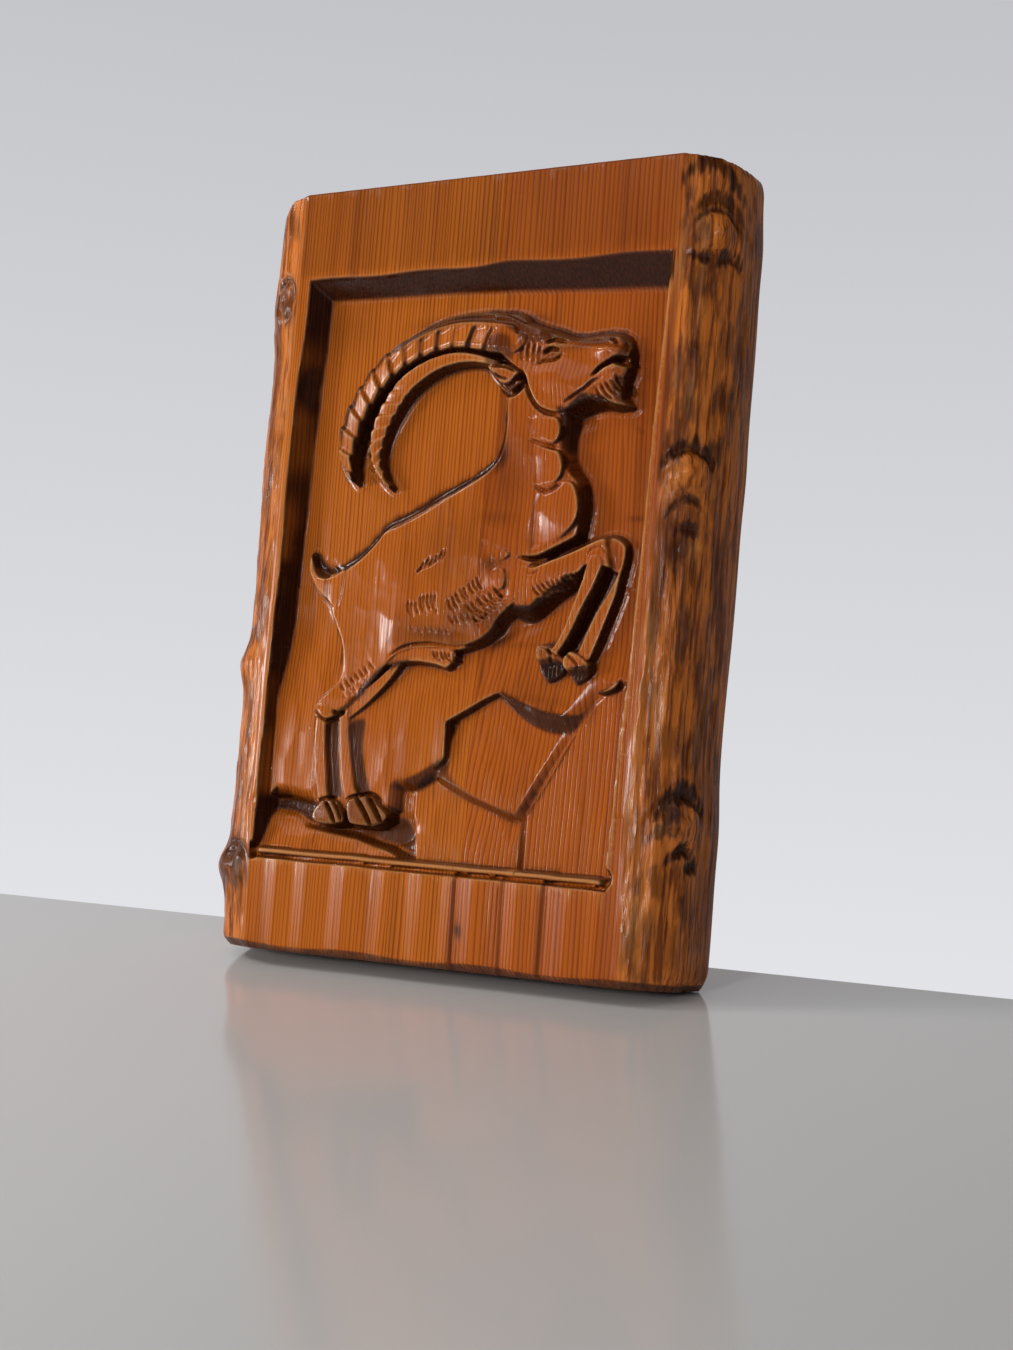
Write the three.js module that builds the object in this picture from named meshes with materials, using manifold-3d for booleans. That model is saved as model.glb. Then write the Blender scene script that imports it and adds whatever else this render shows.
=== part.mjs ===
// Ibex relief wall carving: two pine boards, edge-glued side by side, hollowed into a framed
// panel and carved with a rearing ibex above a stepped rock.
//
// Frame, in millimetres: +Z up, the back face lies in the plane y = 0 and the carving looks
// towards -Y. The origin is the middle of the back face.
import * as THREE from 'three';
import { mergeVertices } from 'three/addons/utils/BufferGeometryUtils.js';
import Module from 'manifold-3d';

const wasm = await Module();
wasm.setup();

// Driving dimensions.
const panelHeight = 300;
const boardThickness = 36;
const leftBoardWidth = 115;       // glue joint to the back edge of the left board
const rightBoardWidth = 90;       // glue joint to the back edge of the right board
const glueGap = 0.3;
const leftWane = 23;              // run of the rounded bark edge, back edge to front ridge
const rightWane = 18;
const frontBevel = 2.5;           // hand-cut bevel along the bottom front edge

const recessDepth = 9;
const topRail = 37;
const bottomRail = 37;
const leftStile = 4;              // flat strip between the wane and the recess
const rightStile = 3;
const topWallRun = 8;             // how far each recess wall slopes inwards
const leftWallRun = 4.5;
const rightWallRun = 1.5;
const bottomWallRun = 2;
const beadRadius = 1.3;           // the roll cut along the foot of the recess

const figureHeight = 200;         // hind hooves to the top of the horns
const figureSetback = 1;          // highest carving below the front face
const hoofStand = 13;             // hind hooves above the foot of the recess
const sink = 1.5;                 // how deep each carved form is rooted below the recess floor

// Derived sizes.
const jointX = (leftBoardWidth - rightBoardWidth) / 2;
const floorHeight = boardThickness - recessDepth;
const relief = recessDepth - figureSetback;
const recessTop = panelHeight - topRail;
const recessHeight = recessTop - bottomRail;
const recessLeft = -leftBoardWidth + leftWane + leftStile;
const recessRight = rightBoardWidth - rightWane - rightStile;
const recessWidth = recessRight - recessLeft;

// All forms are drawn flat: x to the right of the glue joint, y up from the bottom edge and z
// out of the recess floor towards the viewer. This matrix stands the drawing up.
const standUp = new THREE.Matrix4()
  .makeRotationX(Math.PI / 2)
  .setPosition(jointX, -floorHeight, -panelHeight / 2);

// Small helpers.
const bump = (value, centre, reach) => Math.exp(-(((value - centre) / reach) ** 2));

// Reads a list of values as a curve over 0..1.
function along(values, share) {
  const place = share * (values.length - 1);
  const index = Math.min(Math.floor(place), values.length - 2);
  return THREE.MathUtils.lerp(values[index], values[index + 1], place - index);
}

// The figure is drawn 200 high with its hooves at 50, and set on the ground of the recess.
const figureScale = figureHeight / 200;
const figureBase = bottomRail + hoofStand;
const onFigure = ([x, y]) => new THREE.Vector3(x * figureScale, figureBase + (y - 50) * figureScale, 0);

// The rock is drawn in a recess 159 wide and 226 high.
const onRock = ([x, y]) => new THREE.Vector3(
  x * recessWidth / 159,
  bottomRail + (y - 37) * recessHeight / 226,
  0,
);

const joined = (solids) => wasm.Manifold.union(solids);

function solidFrom(geometry) {
  geometry.deleteAttribute('normal');
  geometry.deleteAttribute('uv');
  const merged = mergeVertices(geometry, 1e-4);
  const mesh = new wasm.Mesh({
    numProp: 3,
    vertProperties: new Float32Array(merged.attributes.position.array),
    triVerts: new Uint32Array(merged.index.array),
  });
  return new wasm.Manifold(mesh);
}

// Turns every face outwards, whichever way round the rings were drawn.
function facingOut(positions, faces) {
  const point = (index) => new THREE.Vector3().fromArray(positions, 3 * index);
  let volume = 0;
  for (let k = 0; k < faces.length; k += 3) {
    volume += point(faces[k]).dot(point(faces[k + 1]).cross(point(faces[k + 2])));
  }
  return volume > 0 ? faces : faces.reverse();
}

// Skins a row of closed rings, each with as many points, and caps both ends.
function skin(rings) {
  const count = rings[0].length;
  const positions = rings.flat().flatMap((point) => [point.x, point.y, point.z]);
  const faces = [];
  for (let ring = 0; ring + 1 < rings.length; ring++) {
    for (let k = 0; k < count; k++) {
      const a = ring * count + k;
      const b = ring * count + (k + 1) % count;
      faces.push(a, b, b + count, a, b + count, a + count);
    }
  }
  const last = (rings.length - 1) * count;
  for (let k = 1; k + 1 < count; k++) {
    faces.push(0, k + 1, k, last, last + k, last + k + 1);
  }
  const geometry = new THREE.BufferGeometry();
  geometry.setAttribute('position', new THREE.Float32BufferAttribute(positions, 3));
  geometry.setIndex(facingOut(positions, faces));
  return geometry;
}

function closedOutline(points, count) {
  const curve = new THREE.CatmullRomCurve3(points, true, 'centripetal');
  return curve.getSpacedPoints(count).slice(0, count);
}

// A flat form with a rounded upper edge, standing on the recess floor.
function pillow(points, height, edge, count) {
  const shape = new THREE.Shape(closedOutline(points.map(onFigure), count));
  const geometry = new THREE.ExtrudeGeometry(shape, {
    depth: height + sink - 2 * edge,
    bevelThickness: edge,
    bevelSize: edge * 0.8,
    bevelOffset: -edge * 0.8,
    bevelSegments: 2,
  });
  geometry.translate(0, 0, edge - sink);
  return solidFrom(geometry);
}

// A half-round form that follows a path on the recess floor, such as a leg or a horn.
function limb(points, halfWidths, heights, stations, notch = () => 1) {
  const path = new THREE.CatmullRomCurve3(points.map(onFigure), false, 'centripetal');
  const sides = 5;
  const rings = [];
  for (let station = 0; station <= stations; station++) {
    const share = station / stations;
    const centre = path.getPointAt(share);
    const tangent = path.getTangentAt(share);
    const across = new THREE.Vector3(tangent.y, -tangent.x, 0);
    const half = along(halfWidths, share) * figureScale * notch(share);
    const height = along(heights, share) * notch(share);
    const ring = [centre.clone().addScaledVector(across, -half).setZ(-sink)];
    for (let k = 0; k <= sides; k++) {
      const turn = Math.PI * k / sides;
      const reach = -Math.sign(Math.cos(turn)) * Math.abs(Math.cos(turn)) ** 0.7 * half;
      const rise = height * (0.45 + 0.55 * Math.sin(turn) ** 0.8);
      ring.push(centre.clone().addScaledVector(across, reach).setZ(rise));
    }
    ring.push(centre.clone().addScaledVector(across, half).setZ(-sink));
    rings.push(ring);
  }
  return solidFrom(skin(rings));
}

// A low rounded swelling, such as a muscle, whose top stands at a given height.
function swelling([x, y], [reachX, reachY], top, turn = 0) {
  const rise = 3.5;
  const geometry = new THREE.SphereGeometry(1, 14, 6);
  geometry.rotateX(Math.PI / 2);
  geometry.scale(reachX * figureScale, reachY * figureScale, rise);
  geometry.rotateZ(THREE.MathUtils.degToRad(turn));
  const centre = onFigure([x, y]);
  geometry.translate(centre.x, centre.y, top - rise);
  return solidFrom(geometry);
}

// A short boat-shaped gouge cut, from one point to another.
function gougeCut(from, to, width, depth, level) {
  const start = onFigure(from);
  const run = onFigure(to).sub(start);
  const geometry = new THREE.OctahedronGeometry(1, 0);
  geometry.scale(run.length() / 2, width / 2, depth);
  geometry.rotateZ(Math.atan2(run.y, run.x));
  geometry.translate(start.x + run.x / 2, start.y + run.y / 2, level);
  return solidFrom(geometry);
}

// Board blanks.
// Share of the wane's run and of the board's thickness, from the front ridge to the back edge.
const waneProfile = [[0, 0], [0.26, 0.04], [0.56, 0.13], [0.79, 0.28], [0.94, 0.5], [1, 0.78], [1, 1]];

// Knots and waves push each back edge out or in.
function leftEdge(y) {
  const end = Math.max(0, y - (panelHeight - 9)) / 9;
  const foot = Math.max(0, 5 - y) / 5;
  const knots = 6 * bump(y, 31, 8) + 5 * bump(y, 111, 7.5) + 2.5 * bump(y, 256, 14);
  return leftBoardWidth - 0.5 + knots + 0.8 * Math.sin(y / 23) - 8 * (1 - Math.sqrt(1 - end * end))
    - 4 * foot * foot;
}

function rightEdge(y) {
  const end = Math.max(0, y - (panelHeight - 8.5)) / 8.5;
  const foot = Math.max(0, 8.5 - y) / 8.5;
  const knots = 2 * bump(y, 272, 12) + 1.5 * bump(y, 186, 14) + 1.5 * bump(y, 58, 14);
  return rightBoardWidth + knots + 0.8 * Math.sin(y / 31) - 3.5 * (1 - Math.sqrt(1 - end * end))
    - 3 * foot * foot;
}

// Heights of the cross-sections, closer together where an end rounds off.
const endSteps = [0, frontBevel, 5, 8.5, 13, 18];
const middleSteps = 24;
const sectionHeights = [...endSteps];
for (let step = 1; step < middleSteps; step++) {
  sectionHeights.push(18 + (panelHeight - 36) * step / middleSteps);
}
sectionHeights.push(...endSteps.map((step) => panelHeight - step).reverse());

// One board: side is -1 for the left one and +1 for the right one.
function boardBlank(side, edge, wane, width) {
  const rings = sectionHeights.map((y) => {
    const front = recessDepth - (y < frontBevel ? frontBevel : 0) - (y === panelHeight ? 1 : 0);
    const reach = edge(y);
    const ridge = width - wane - 0.3 * (width - reach);
    const ring = [
      new THREE.Vector3(side * glueGap / 2, y, -floorHeight),
      new THREE.Vector3(side * glueGap / 2, y, front),
    ];
    for (const [run, drop] of waneProfile) {
      const x = THREE.MathUtils.lerp(ridge, reach, run);
      ring.push(new THREE.Vector3(side * x, y, THREE.MathUtils.lerp(front, -floorHeight, drop)));
    }
    return ring;
  });
  return solidFrom(skin(rings));
}

// Recess.
// The mouth of the recess at the front face, or its floor once the walls have sloped in.
function recessOutline(slope) {
  const left = recessLeft + leftWallRun * slope;
  const right = recessRight - rightWallRun * slope;
  const top = recessTop - topWallRun * slope;
  const foot = bottomRail + bottomWallRun * slope;
  const lean = 7;                 // both side walls run a little left towards the foot
  const steps = 8;
  const points = [];
  for (let step = 0; step < steps; step++) {
    const share = step / steps;
    const x = right - lean * (1 - share);
    points.push([x, THREE.MathUtils.lerp(foot, top, share)]);
  }
  for (let step = 0; step < steps; step++) {
    const share = step / steps;
    points.push([THREE.MathUtils.lerp(right, left, share), top + 0.5 * Math.sin(share * 19)]);
  }
  const gouges = 9;               // scalloped gouge marks down the left wall
  for (let step = 0; step < 2 * gouges; step++) {
    const share = step / (2 * gouges);
    const scallop = 0.7 * Math.abs(Math.sin(share * gouges * Math.PI)) * (1 - slope / 2);
    const x = left - 0.7 * lean * share - scallop;
    points.push([x, THREE.MathUtils.lerp(top, foot, share)]);
  }
  points.push([left - 0.7 * lean, foot]);
  return points;
}

function recessCutter() {
  const levels = [[1, 0], [0, recessDepth], [-0.3, recessDepth + 3]];
  const rings = levels.map(([slope, z]) => (
    recessOutline(slope).map(([x, y]) => new THREE.Vector3(x, y, z))
  ));
  return solidFrom(skin(rings));
}

// A roll lies along the foot of the recess, between two fine grooves.
function bead(radius, y, level) {
  const length = recessWidth - 10;
  const geometry = new THREE.CapsuleGeometry(radius, length, 3, 8);
  geometry.rotateZ(Math.PI / 2);
  geometry.translate(recessLeft - 3 + recessWidth / 2, y, level);
  return solidFrom(geometry);
}

// Shallow upright hollows left by a wide gouge on a rail.
function railFlute(x, width, depth, from, to) {
  const steps = 4;
  const section = new THREE.Shape();
  section.moveTo(width / 2, 1);
  section.lineTo(-width / 2, 1);
  for (let step = 0; step <= steps; step++) {
    const share = 2 * step / steps - 1;
    section.lineTo(share * width / 2, 0.05 - depth * (1 - share * share));
  }
  const geometry = new THREE.ExtrudeGeometry(section, { depth: to - from, bevelEnabled: false });
  geometry.rotateX(Math.PI / 2);
  geometry.translate(x, to, recessDepth);
  return solidFrom(geometry);
}

function railFlutes() {
  const pitch = recessWidth / 9;
  const flutes = [];
  for (let k = 0; k < 9; k++) {
    const x = recessLeft + pitch * (k + 0.5) - 4;
    const depth = 0.35 + 0.15 * Math.sin(k * 2.4);
    flutes.push(railFlute(x, pitch * 0.86, depth, -1, bottomRail - 2.5));
    flutes.push(railFlute(x + 3, pitch * 0.8, depth * 0.6, recessTop + 2, panelHeight + 1));
  }
  return joined(flutes);
}

// Rock.
// One ledge of the rock: a sloping face that stands out most along its lower edge.
function ledge(points, low, high) {
  const outline = points.map(onRock);
  const top = Math.max(...outline.map((point) => point.y));
  const bottom = Math.min(...outline.map((point) => point.y));
  const rise = (y) => THREE.MathUtils.mapLinear(y, top, bottom, low, high);
  const caps = THREE.ShapeUtils.triangulateShape(outline, []);
  const count = outline.length;
  const positions = [
    ...outline.flatMap((point) => [point.x, point.y, -sink]),
    ...outline.flatMap((point) => [point.x, point.y, rise(point.y)]),
  ];
  const faces = [];
  for (const [a, b, c] of caps) {
    faces.push(a, c, b, a + count, b + count, c + count);
  }
  for (let k = 0; k < count; k++) {
    const next = (k + 1) % count;
    faces.push(k, next, next + count, k, next + count, k + count);
  }
  const geometry = new THREE.BufferGeometry();
  geometry.setAttribute('position', new THREE.Float32BufferAttribute(positions, 3));
  geometry.setIndex(facingOut(positions, faces));
  return solidFrom(geometry);
}

function rock() {
  const plateau = [
    [-87, 59.5], [-70, 58.5], [-64, 54], [-34, 54], [-25.5, 60], [-25.5, 67], [-21, 71.5],
    [-14.5, 75], [-9.5, 77.5], [-8, 84], [-7.5, 92], [0, 97], [10, 103.5], [15, 103.3],
    [24, 99], [36, 96.5], [46, 97], [52, 103.5], [56, 107.5], [64.5, 108.5], [66.5, 135],
    [-84, 135],
  ];
  const slab = [
    [-12, 76], [-5, 70], [0, 66], [14, 61.5], [24, 58.5], [31, 72], [38, 83], [43, 91],
    [40, 98], [14, 104], [-6, 93],
  ];
  const block = [[-20, 38], [26, 38], [24, 57.5], [0, 65], [-12, 75], [-24, 66.5], [-23, 52]];
  const field = [[26.5, 38], [61, 38], [65, 108], [56, 106], [44, 91], [31, 71], [24.5, 58]];
  const bank = [[-90, 37], [-20, 37], [-34, 44], [-55, 49], [-70, 53], [-88, 52]];
  return [
    ledge(plateau, 0.2, 5),
    ledge(slab, 0.4, 3.2),
    ledge(block, 0.4, 2.4),
    ledge(field, 0.6, 1.6),
    ledge(bank, 1.2, 5.5),
  ];
}

// Ibex.
// Rings that notch the front of each horn, deepest between two knobs.
const knobs = (count) => (share) => 0.84 + 0.16 * Math.abs(Math.sin(share * count * Math.PI)) ** 0.6;

function horns() {
  const near = [
    [8, 236.5], [-8.7, 239.6], [-17.5, 240.1], [-28.4, 238.7], [-38.6, 234.2], [-45.9, 229.4],
    [-53.8, 221.8], [-59.2, 214.6], [-63.2, 206.5], [-64.4, 198.1], [-63.8, 191.6], [-60.5, 183],
  ];
  const far = [
    [1, 226], [-10.1, 228.5], [-19.1, 228.5], [-26.1, 226.8], [-32.1, 224.2], [-38.5, 220],
    [-44.4, 214.6], [-50, 206.3], [-51.2, 201.3], [-50.5, 195.7], [-49.4, 189.9], [-45.5, 182],
  ];
  const nearHalf = [6.5, 7.4, 6.8, 6.3, 5.6, 5.1, 4.7, 4.4, 4.3, 3.6, 2.5, 0.9];
  const farHalf = [1.6, 2, 2.2, 2.8, 3.4, 3.9, 4.2, 4, 4.1, 3.4, 2.6, 0.8];
  return [
    limb(near, nearHalf, [relief, relief, relief * 0.7], 42, knobs(14)),
    limb(far, farHalf, [relief * 0.7, relief * 0.8, relief * 0.6], 33, knobs(11)),
  ];
}

function head() {
  const outline = [
    [5, 245], [15, 241.8], [21, 240], [30, 236.3], [36, 235.4], [45, 236], [51, 235.6],
    [55.5, 234], [57, 230.5], [56.5, 225], [53, 219.5], [45, 219.5], [40, 216.5], [34, 211],
    [29, 208.3], [24, 207.2], [19.5, 209.2], [15, 215], [11.5, 220.5], [4, 227], [-2, 233],
    [-1, 241],
  ];
  const beard = [[44, 216], [50, 218], [56, 216.5], [59.5, 208.3], [54, 209.3], [48, 211.8]];
  return [
    pillow(outline, relief * 0.9, 2.2, 46),
    pillow(beard, relief * 0.75, 1.6, 20),
    limb([[-3.5, 226.6], [2, 224.2], [7, 222.2], [12, 221]], [0.5, 3.6, 3.4, 0.8], [relief, relief], 8),
    swelling([24, 220], [13, 10], relief * 0.98),
    swelling([15, 230], [6, 7], relief),
    swelling([24.5, 230.5], [5.5, 2.6], relief + 0.4, -10),
    swelling([49, 231], [7.5, 4.5], relief * 0.97),
  ];
}

function trunk() {
  const outline = [
    [6.5, 224], [7, 208], [7.5, 200], [6, 194], [2.5, 189.5], [-9, 182.5], [-17, 176.5],
    [-26, 172], [-35, 168.3], [-42, 166], [-47, 162], [-52, 157], [-58, 152.5], [-64, 149],
    [-69, 146], [-68.5, 137], [-66, 128], [-62.5, 121], [-60.5, 114], [-60.8, 107],
    [-65, 102.5], [-70.5, 97.5], [-71.5, 93], [-66, 90], [-60, 89.5], [-55.5, 94.8],
    [-48, 103], [-42, 111], [-36.5, 117.5], [-30, 120], [-20, 120.7], [-8, 119.3], [0, 121],
    [6, 125], [11, 130.5], [15, 135.5], [21, 136], [27, 148], [33, 159], [40, 163.5],
    [42, 169], [41.3, 174.5], [37, 182.5], [33, 190], [31.3, 197], [30, 204], [27, 211],
    [18, 222],
  ];
  return [
    pillow(outline, relief * 0.82, 2.4, 88),
    swelling([2, 158], [19, 24], relief, 20),
    swelling([-22, 143], [24, 19], relief * 0.94, 20),
    swelling([-46, 130], [15, 26], relief * 0.98, -12),
    swelling([-55, 104], [12, 9], relief * 0.88, 40),
    swelling([23, 200], [7, 8], relief * 0.97),
    swelling([26, 187], [8, 7], relief * 0.98, -15),
    swelling([29, 169], [9, 11], relief * 0.97, -20),
    swelling([5.5, 156.5], [8, 3.4], relief + 0.7, -28),
    limb([[-58, 144], [-67, 142.5], [-74.5, 144.5], [-79.5, 152]], [7.5, 5.5, 3.6, 1], [6.2, 4.6, 3], 9),
    limb([[-36, 113.5], [-28, 117], [-18, 116.5], [-8.5, 112.8]], [1.5, 2.8, 3, 1], [5, 5.4, 4.5], 8),
  ];
}

function frontLegs() {
  const upper = [
    [15, 146], [20, 151.5], [28.5, 153.8], [40, 158], [50, 160.2], [58, 159.6], [61.5, 156],
    [61, 149], [57, 143], [52.5, 146], [46, 148.5], [41, 145.5], [35, 142.2], [28.3, 138.8],
    [20.5, 135.3],
  ];
  const nearHoof = [
    [27, 120.3], [32, 121], [37, 120], [38.8, 113], [36.8, 110], [31.7, 107.2], [28.3, 110.5],
  ];
  const farHoof = [
    [38.5, 116.3], [42.5, 119.8], [47, 116.5], [50, 112.8], [48, 109], [43, 106.8], [40.2, 109.8],
  ];
  return [
    pillow(upper, relief * 0.84, 1.8, 38),
    limb([[50, 153], [47.5, 145], [43.5, 136], [39.5, 127], [34.5, 119]], [4.4, 3.6, 3, 2.3, 2.6],
      [6.8, 6.2, 5.2], 10),
    limb([[59, 150], [56.5, 142], [51.5, 133], [47, 124.5], [43.5, 117]], [2, 1.8, 2.7, 3.1, 3],
      [5.6, 5, 4.6], 10),
    pillow(nearHoof, relief * 0.62, 1.4, 16),
    pillow(farHoof, relief * 0.58, 1.4, 16),
  ];
}

function hindLegs() {
  const nearHoof = [
    [-66.3, 57.5], [-60.7, 59.6], [-56.5, 60], [-53, 57], [-50, 51.8], [-53.2, 50.2],
    [-58, 50], [-63.5, 51.8], [-66.8, 54.6],
  ];
  const farHoof = [
    [-51.2, 58.8], [-46.5, 61.5], [-40.5, 62.3], [-36.5, 60], [-33, 56], [-31.5, 53],
    [-36, 50.4], [-44, 50], [-49.3, 51.6],
  ];
  return [
    limb([[-66, 95], [-65.8, 83], [-63.6, 72], [-61.6, 62], [-60.5, 56]], [4.6, 3.3, 3.2, 3.6, 3.8],
      [6.2, 5.8, 6.4], 10),
    limb([[-55, 92], [-54.5, 82], [-51.8, 72], [-49.5, 60]], [4, 3.1, 3.3, 3.9], [5.2, 5.4, 6], 9),
    limb([[-29, 111], [-37.5, 102.5], [-45, 96], [-53, 91]], [0.8, 3, 3.9, 4], [3.6, 4.6, 5.2], 8),
    pillow(nearHoof, relief * 0.9, 1.4, 22),
    pillow(farHoof, relief * 0.88, 1.4, 22),
  ];
}

// A row of equal gouge cuts, stepped from the first one.
function cutRow(first, step, count, run, width, depth, level) {
  const cuts = [];
  for (let index = 0; index < count; index++) {
    const from = [first[0] + step[0] * index, first[1] + step[1] * index];
    cuts.push(gougeCut(from, [from[0] + run[0], from[1] + run[1]], width, depth, level));
  }
  return cuts;
}

function gougeWork() {
  const skinLevel = relief * 0.9;
  return [
    ...cutRow([23, 141.5], [1.75, 0.75], 11, [4.4, -3.4], 0.9, 1.1, relief * 0.84),
    ...cutRow([-10, 136.5], [1.7, 1.3], 6, [2.6, -4.2], 1, 1, skinLevel),
    ...cutRow([-25.5, 138], [1.6, 0.3], 5, [1.6, -6], 0.9, 1.1, relief * 0.93),
    ...cutRow([-27, 147], [2, 0.6], 5, [4, 6.2], 0.8, 0.9, relief * 0.94),
    ...cutRow([-58, 103], [2.1, 1.3], 7, [3.4, -2.6], 1, 1.1, relief * 0.86),
    ...cutRow([-18.5, 118.4], [1.7, -0.4], 4, [3.4, -3.6], 0.9, 1, 5.2),
    ...cutRow([46, 217.5], [2.4, 0.6], 4, [5.6, -6.8], 1, 1.2, relief * 0.75),
    ...cutRow([13, 233.5], [2.3, -0.2], 3, [-0.9, -6.5], 0.9, 1, relief),
    gougeCut([41, 220], [59, 228.4], 3, 3.4, relief * 0.95),
    gougeCut([20, 227.4], [30.5, 232.6], 1.3, 1.4, relief + 0.2),
    gougeCut([18, 234.2], [30, 234.4], 1.4, 1.3, relief),
    gougeCut([48, 232.6], [52.5, 230.6], 1.4, 1.5, relief * 0.97),
    gougeCut([-2, 225.6], [9.5, 221.4], 1.5, 1.6, relief),
    gougeCut([17, 151], [44, 160.4], 2.6, 4.5, relief * 0.9),
    gougeCut([19, 180.5], [34, 179.5], 2.8, 2, relief * 0.95),
    gougeCut([12, 223], [22, 206.6], 2, 2, relief * 0.9),
    gougeCut([-58.5, 59.6], [-52.5, 51], 1.6, 2.4, relief * 0.88),
    gougeCut([-45, 61.8], [-35.5, 50.8], 1.8, 2.4, relief * 0.86),
    gougeCut([-70, 92.6], [-60, 88.4], 1.6, 2, 6),
  ];
}

// Assembly.
const carving = joined([...horns(), ...head(), ...trunk(), ...frontLegs(), ...hindLegs(), ...rock()])
  .subtract(joined(gougeWork()));

// A block that takes in one board's side of the glue joint.
function sideBlock(side) {
  const reach = 2 * (leftBoardWidth + rightBoardWidth);
  const geometry = new THREE.BoxGeometry(reach, 2 * panelHeight, 4 * boardThickness);
  geometry.translate(side * (reach / 2 + glueGap / 2), panelHeight / 2, 0);
  return solidFrom(geometry);
}

const recess = recessCutter();
const groove = bead(beadRadius * 0.8, bottomRail - 1, recessDepth);
const roll = bead(beadRadius, bottomRail + 1.6, recessDepth - 2.6);

function carvedBoard(side, edge, wane, width) {
  const blank = boardBlank(side, edge, wane, width);
  const worked = blank.subtract(joined([recess, groove, railFlutes()]));
  const share = joined([carving, roll]).intersect(sideBlock(side));
  return worked.add(share);
}

function boardMesh(name, solid, colour) {
  const cut = solid.getMesh();
  const geometry = new THREE.BufferGeometry();
  geometry.setAttribute('position', new THREE.BufferAttribute(new Float32Array(cut.vertProperties), 3));
  geometry.setIndex(new THREE.BufferAttribute(new Uint32Array(cut.triVerts), 1));
  geometry.applyMatrix4(standUp);
  geometry.computeVertexNormals();
  const pine = new THREE.MeshStandardMaterial({ color: colour, roughness: 0.38, metalness: 0 });
  const mesh = new THREE.Mesh(geometry, pine);
  mesh.name = name;
  return mesh;
}

const panel = new THREE.Group();
panel.name = 'ibex_relief_panel';
panel.add(
  boardMesh('left_board', carvedBoard(-1, leftEdge, leftWane, leftBoardWidth), 0xa85c1c),
  boardMesh('right_board', carvedBoard(1, rightEdge, rightWane, rightBoardWidth), 0x9c5019),
);

export default panel;
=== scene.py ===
import math

import bpy
import numpy as np
from mathutils import Matrix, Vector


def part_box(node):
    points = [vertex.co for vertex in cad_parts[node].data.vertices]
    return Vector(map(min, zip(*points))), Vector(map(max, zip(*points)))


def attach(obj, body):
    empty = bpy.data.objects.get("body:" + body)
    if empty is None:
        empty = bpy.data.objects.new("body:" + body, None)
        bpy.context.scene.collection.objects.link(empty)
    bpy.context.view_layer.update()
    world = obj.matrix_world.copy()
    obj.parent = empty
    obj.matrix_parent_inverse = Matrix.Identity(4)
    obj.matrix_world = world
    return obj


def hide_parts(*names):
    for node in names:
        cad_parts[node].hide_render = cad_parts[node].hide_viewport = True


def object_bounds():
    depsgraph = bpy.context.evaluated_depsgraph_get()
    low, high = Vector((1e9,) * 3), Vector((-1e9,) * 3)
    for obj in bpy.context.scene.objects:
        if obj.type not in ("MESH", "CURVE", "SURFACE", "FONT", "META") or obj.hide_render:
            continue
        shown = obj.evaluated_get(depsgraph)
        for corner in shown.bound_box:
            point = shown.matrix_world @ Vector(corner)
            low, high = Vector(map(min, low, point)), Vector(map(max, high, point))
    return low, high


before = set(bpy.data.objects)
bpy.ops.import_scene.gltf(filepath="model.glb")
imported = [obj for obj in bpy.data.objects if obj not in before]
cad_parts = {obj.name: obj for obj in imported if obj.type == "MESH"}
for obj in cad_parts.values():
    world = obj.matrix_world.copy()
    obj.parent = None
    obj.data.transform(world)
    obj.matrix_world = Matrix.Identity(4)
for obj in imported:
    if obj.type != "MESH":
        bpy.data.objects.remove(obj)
cad_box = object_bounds()

# The panel front. Two pine boards, glued edge to edge, are hollowed out inside a rim. All that
# the gouge leaves is drawn here as heights over one fine sheet, in millimetres: across from the
# glue joint, up from the bottom edge, and out from the floor of the recess.
MM = 0.001
left_low, left_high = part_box("left_board")
right_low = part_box("right_board")[0]
joint_x = (left_high[0] + right_low[0]) / 2 / MM
thickness = -left_low[1] / MM
panel_height = (left_high[2] - left_low[2]) / MM
recess_depth = 9.0

pitch = 0.32
across = np.arange(-99, 78, pitch)
upward = np.arange(0, panel_height + pitch, pitch)
X, V = np.meshgrid(across, upward)


def ease(value):
    value = np.clip(value, 0, 1)
    return value * value * (3 - 2 * value)


def swells(x, v, reach_x, reach_v, seed):
    """Smooth random swells between -1 and 1, about reach_x wide and reach_v tall."""
    table = np.random.default_rng(seed).uniform(-1, 1, (256, 256))
    u, w = x / reach_x + 1000, v / reach_v + 1000
    j, i = np.floor(u).astype(int), np.floor(w).astype(int)
    fu, fw = ease(u - j), ease(w - i)
    low = table[i % 256, j % 256] * (1 - fu) + table[i % 256, (j + 1) % 256] * fu
    high = table[(i + 1) % 256, j % 256] * (1 - fu) + table[(i + 1) % 256, (j + 1) % 256] * fu
    return low * (1 - fw) + high * fw


def gouge_hollows(x, v, width, length, seed):
    """Overlapping hollows left by a gouge: 1 in the middle of each, 0 on the ridges between."""
    spots = np.random.default_rng(seed).uniform(0.1, 0.9, (128, 128, 2))
    u, w = x / width + 1000, v / length + 1000
    nearest = np.full(u.shape, 9.0)
    for dj in (-1, 0, 1):
        for di in (-1, 0, 1):
            j, i = np.floor(u).astype(int) + dj, np.floor(w).astype(int) + di
            spot = spots[i % 128, j % 128]
            nearest = np.minimum(nearest, (u - j - spot[..., 0]) ** 2 + (w - i - spot[..., 1]) ** 2)
    return 1 - np.clip(nearest / 0.9, 0, 1)


def blurred(field, reach):
    """The field smoothed over reach millimetres both ways."""
    size = max(1, int(3 * reach / pitch))
    weights = np.exp(-0.5 * (np.arange(-size, size + 1) * pitch / reach) ** 2)
    weights /= weights.sum()
    for axis in (0, 1):
        width = [(size, size) if k == axis else (0, 0) for k in (0, 1)]
        padded = np.pad(field, width, mode="edge")
        field = np.apply_along_axis(lambda line: np.convolve(line, weights, "valid"), axis, padded)
    return field


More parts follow.
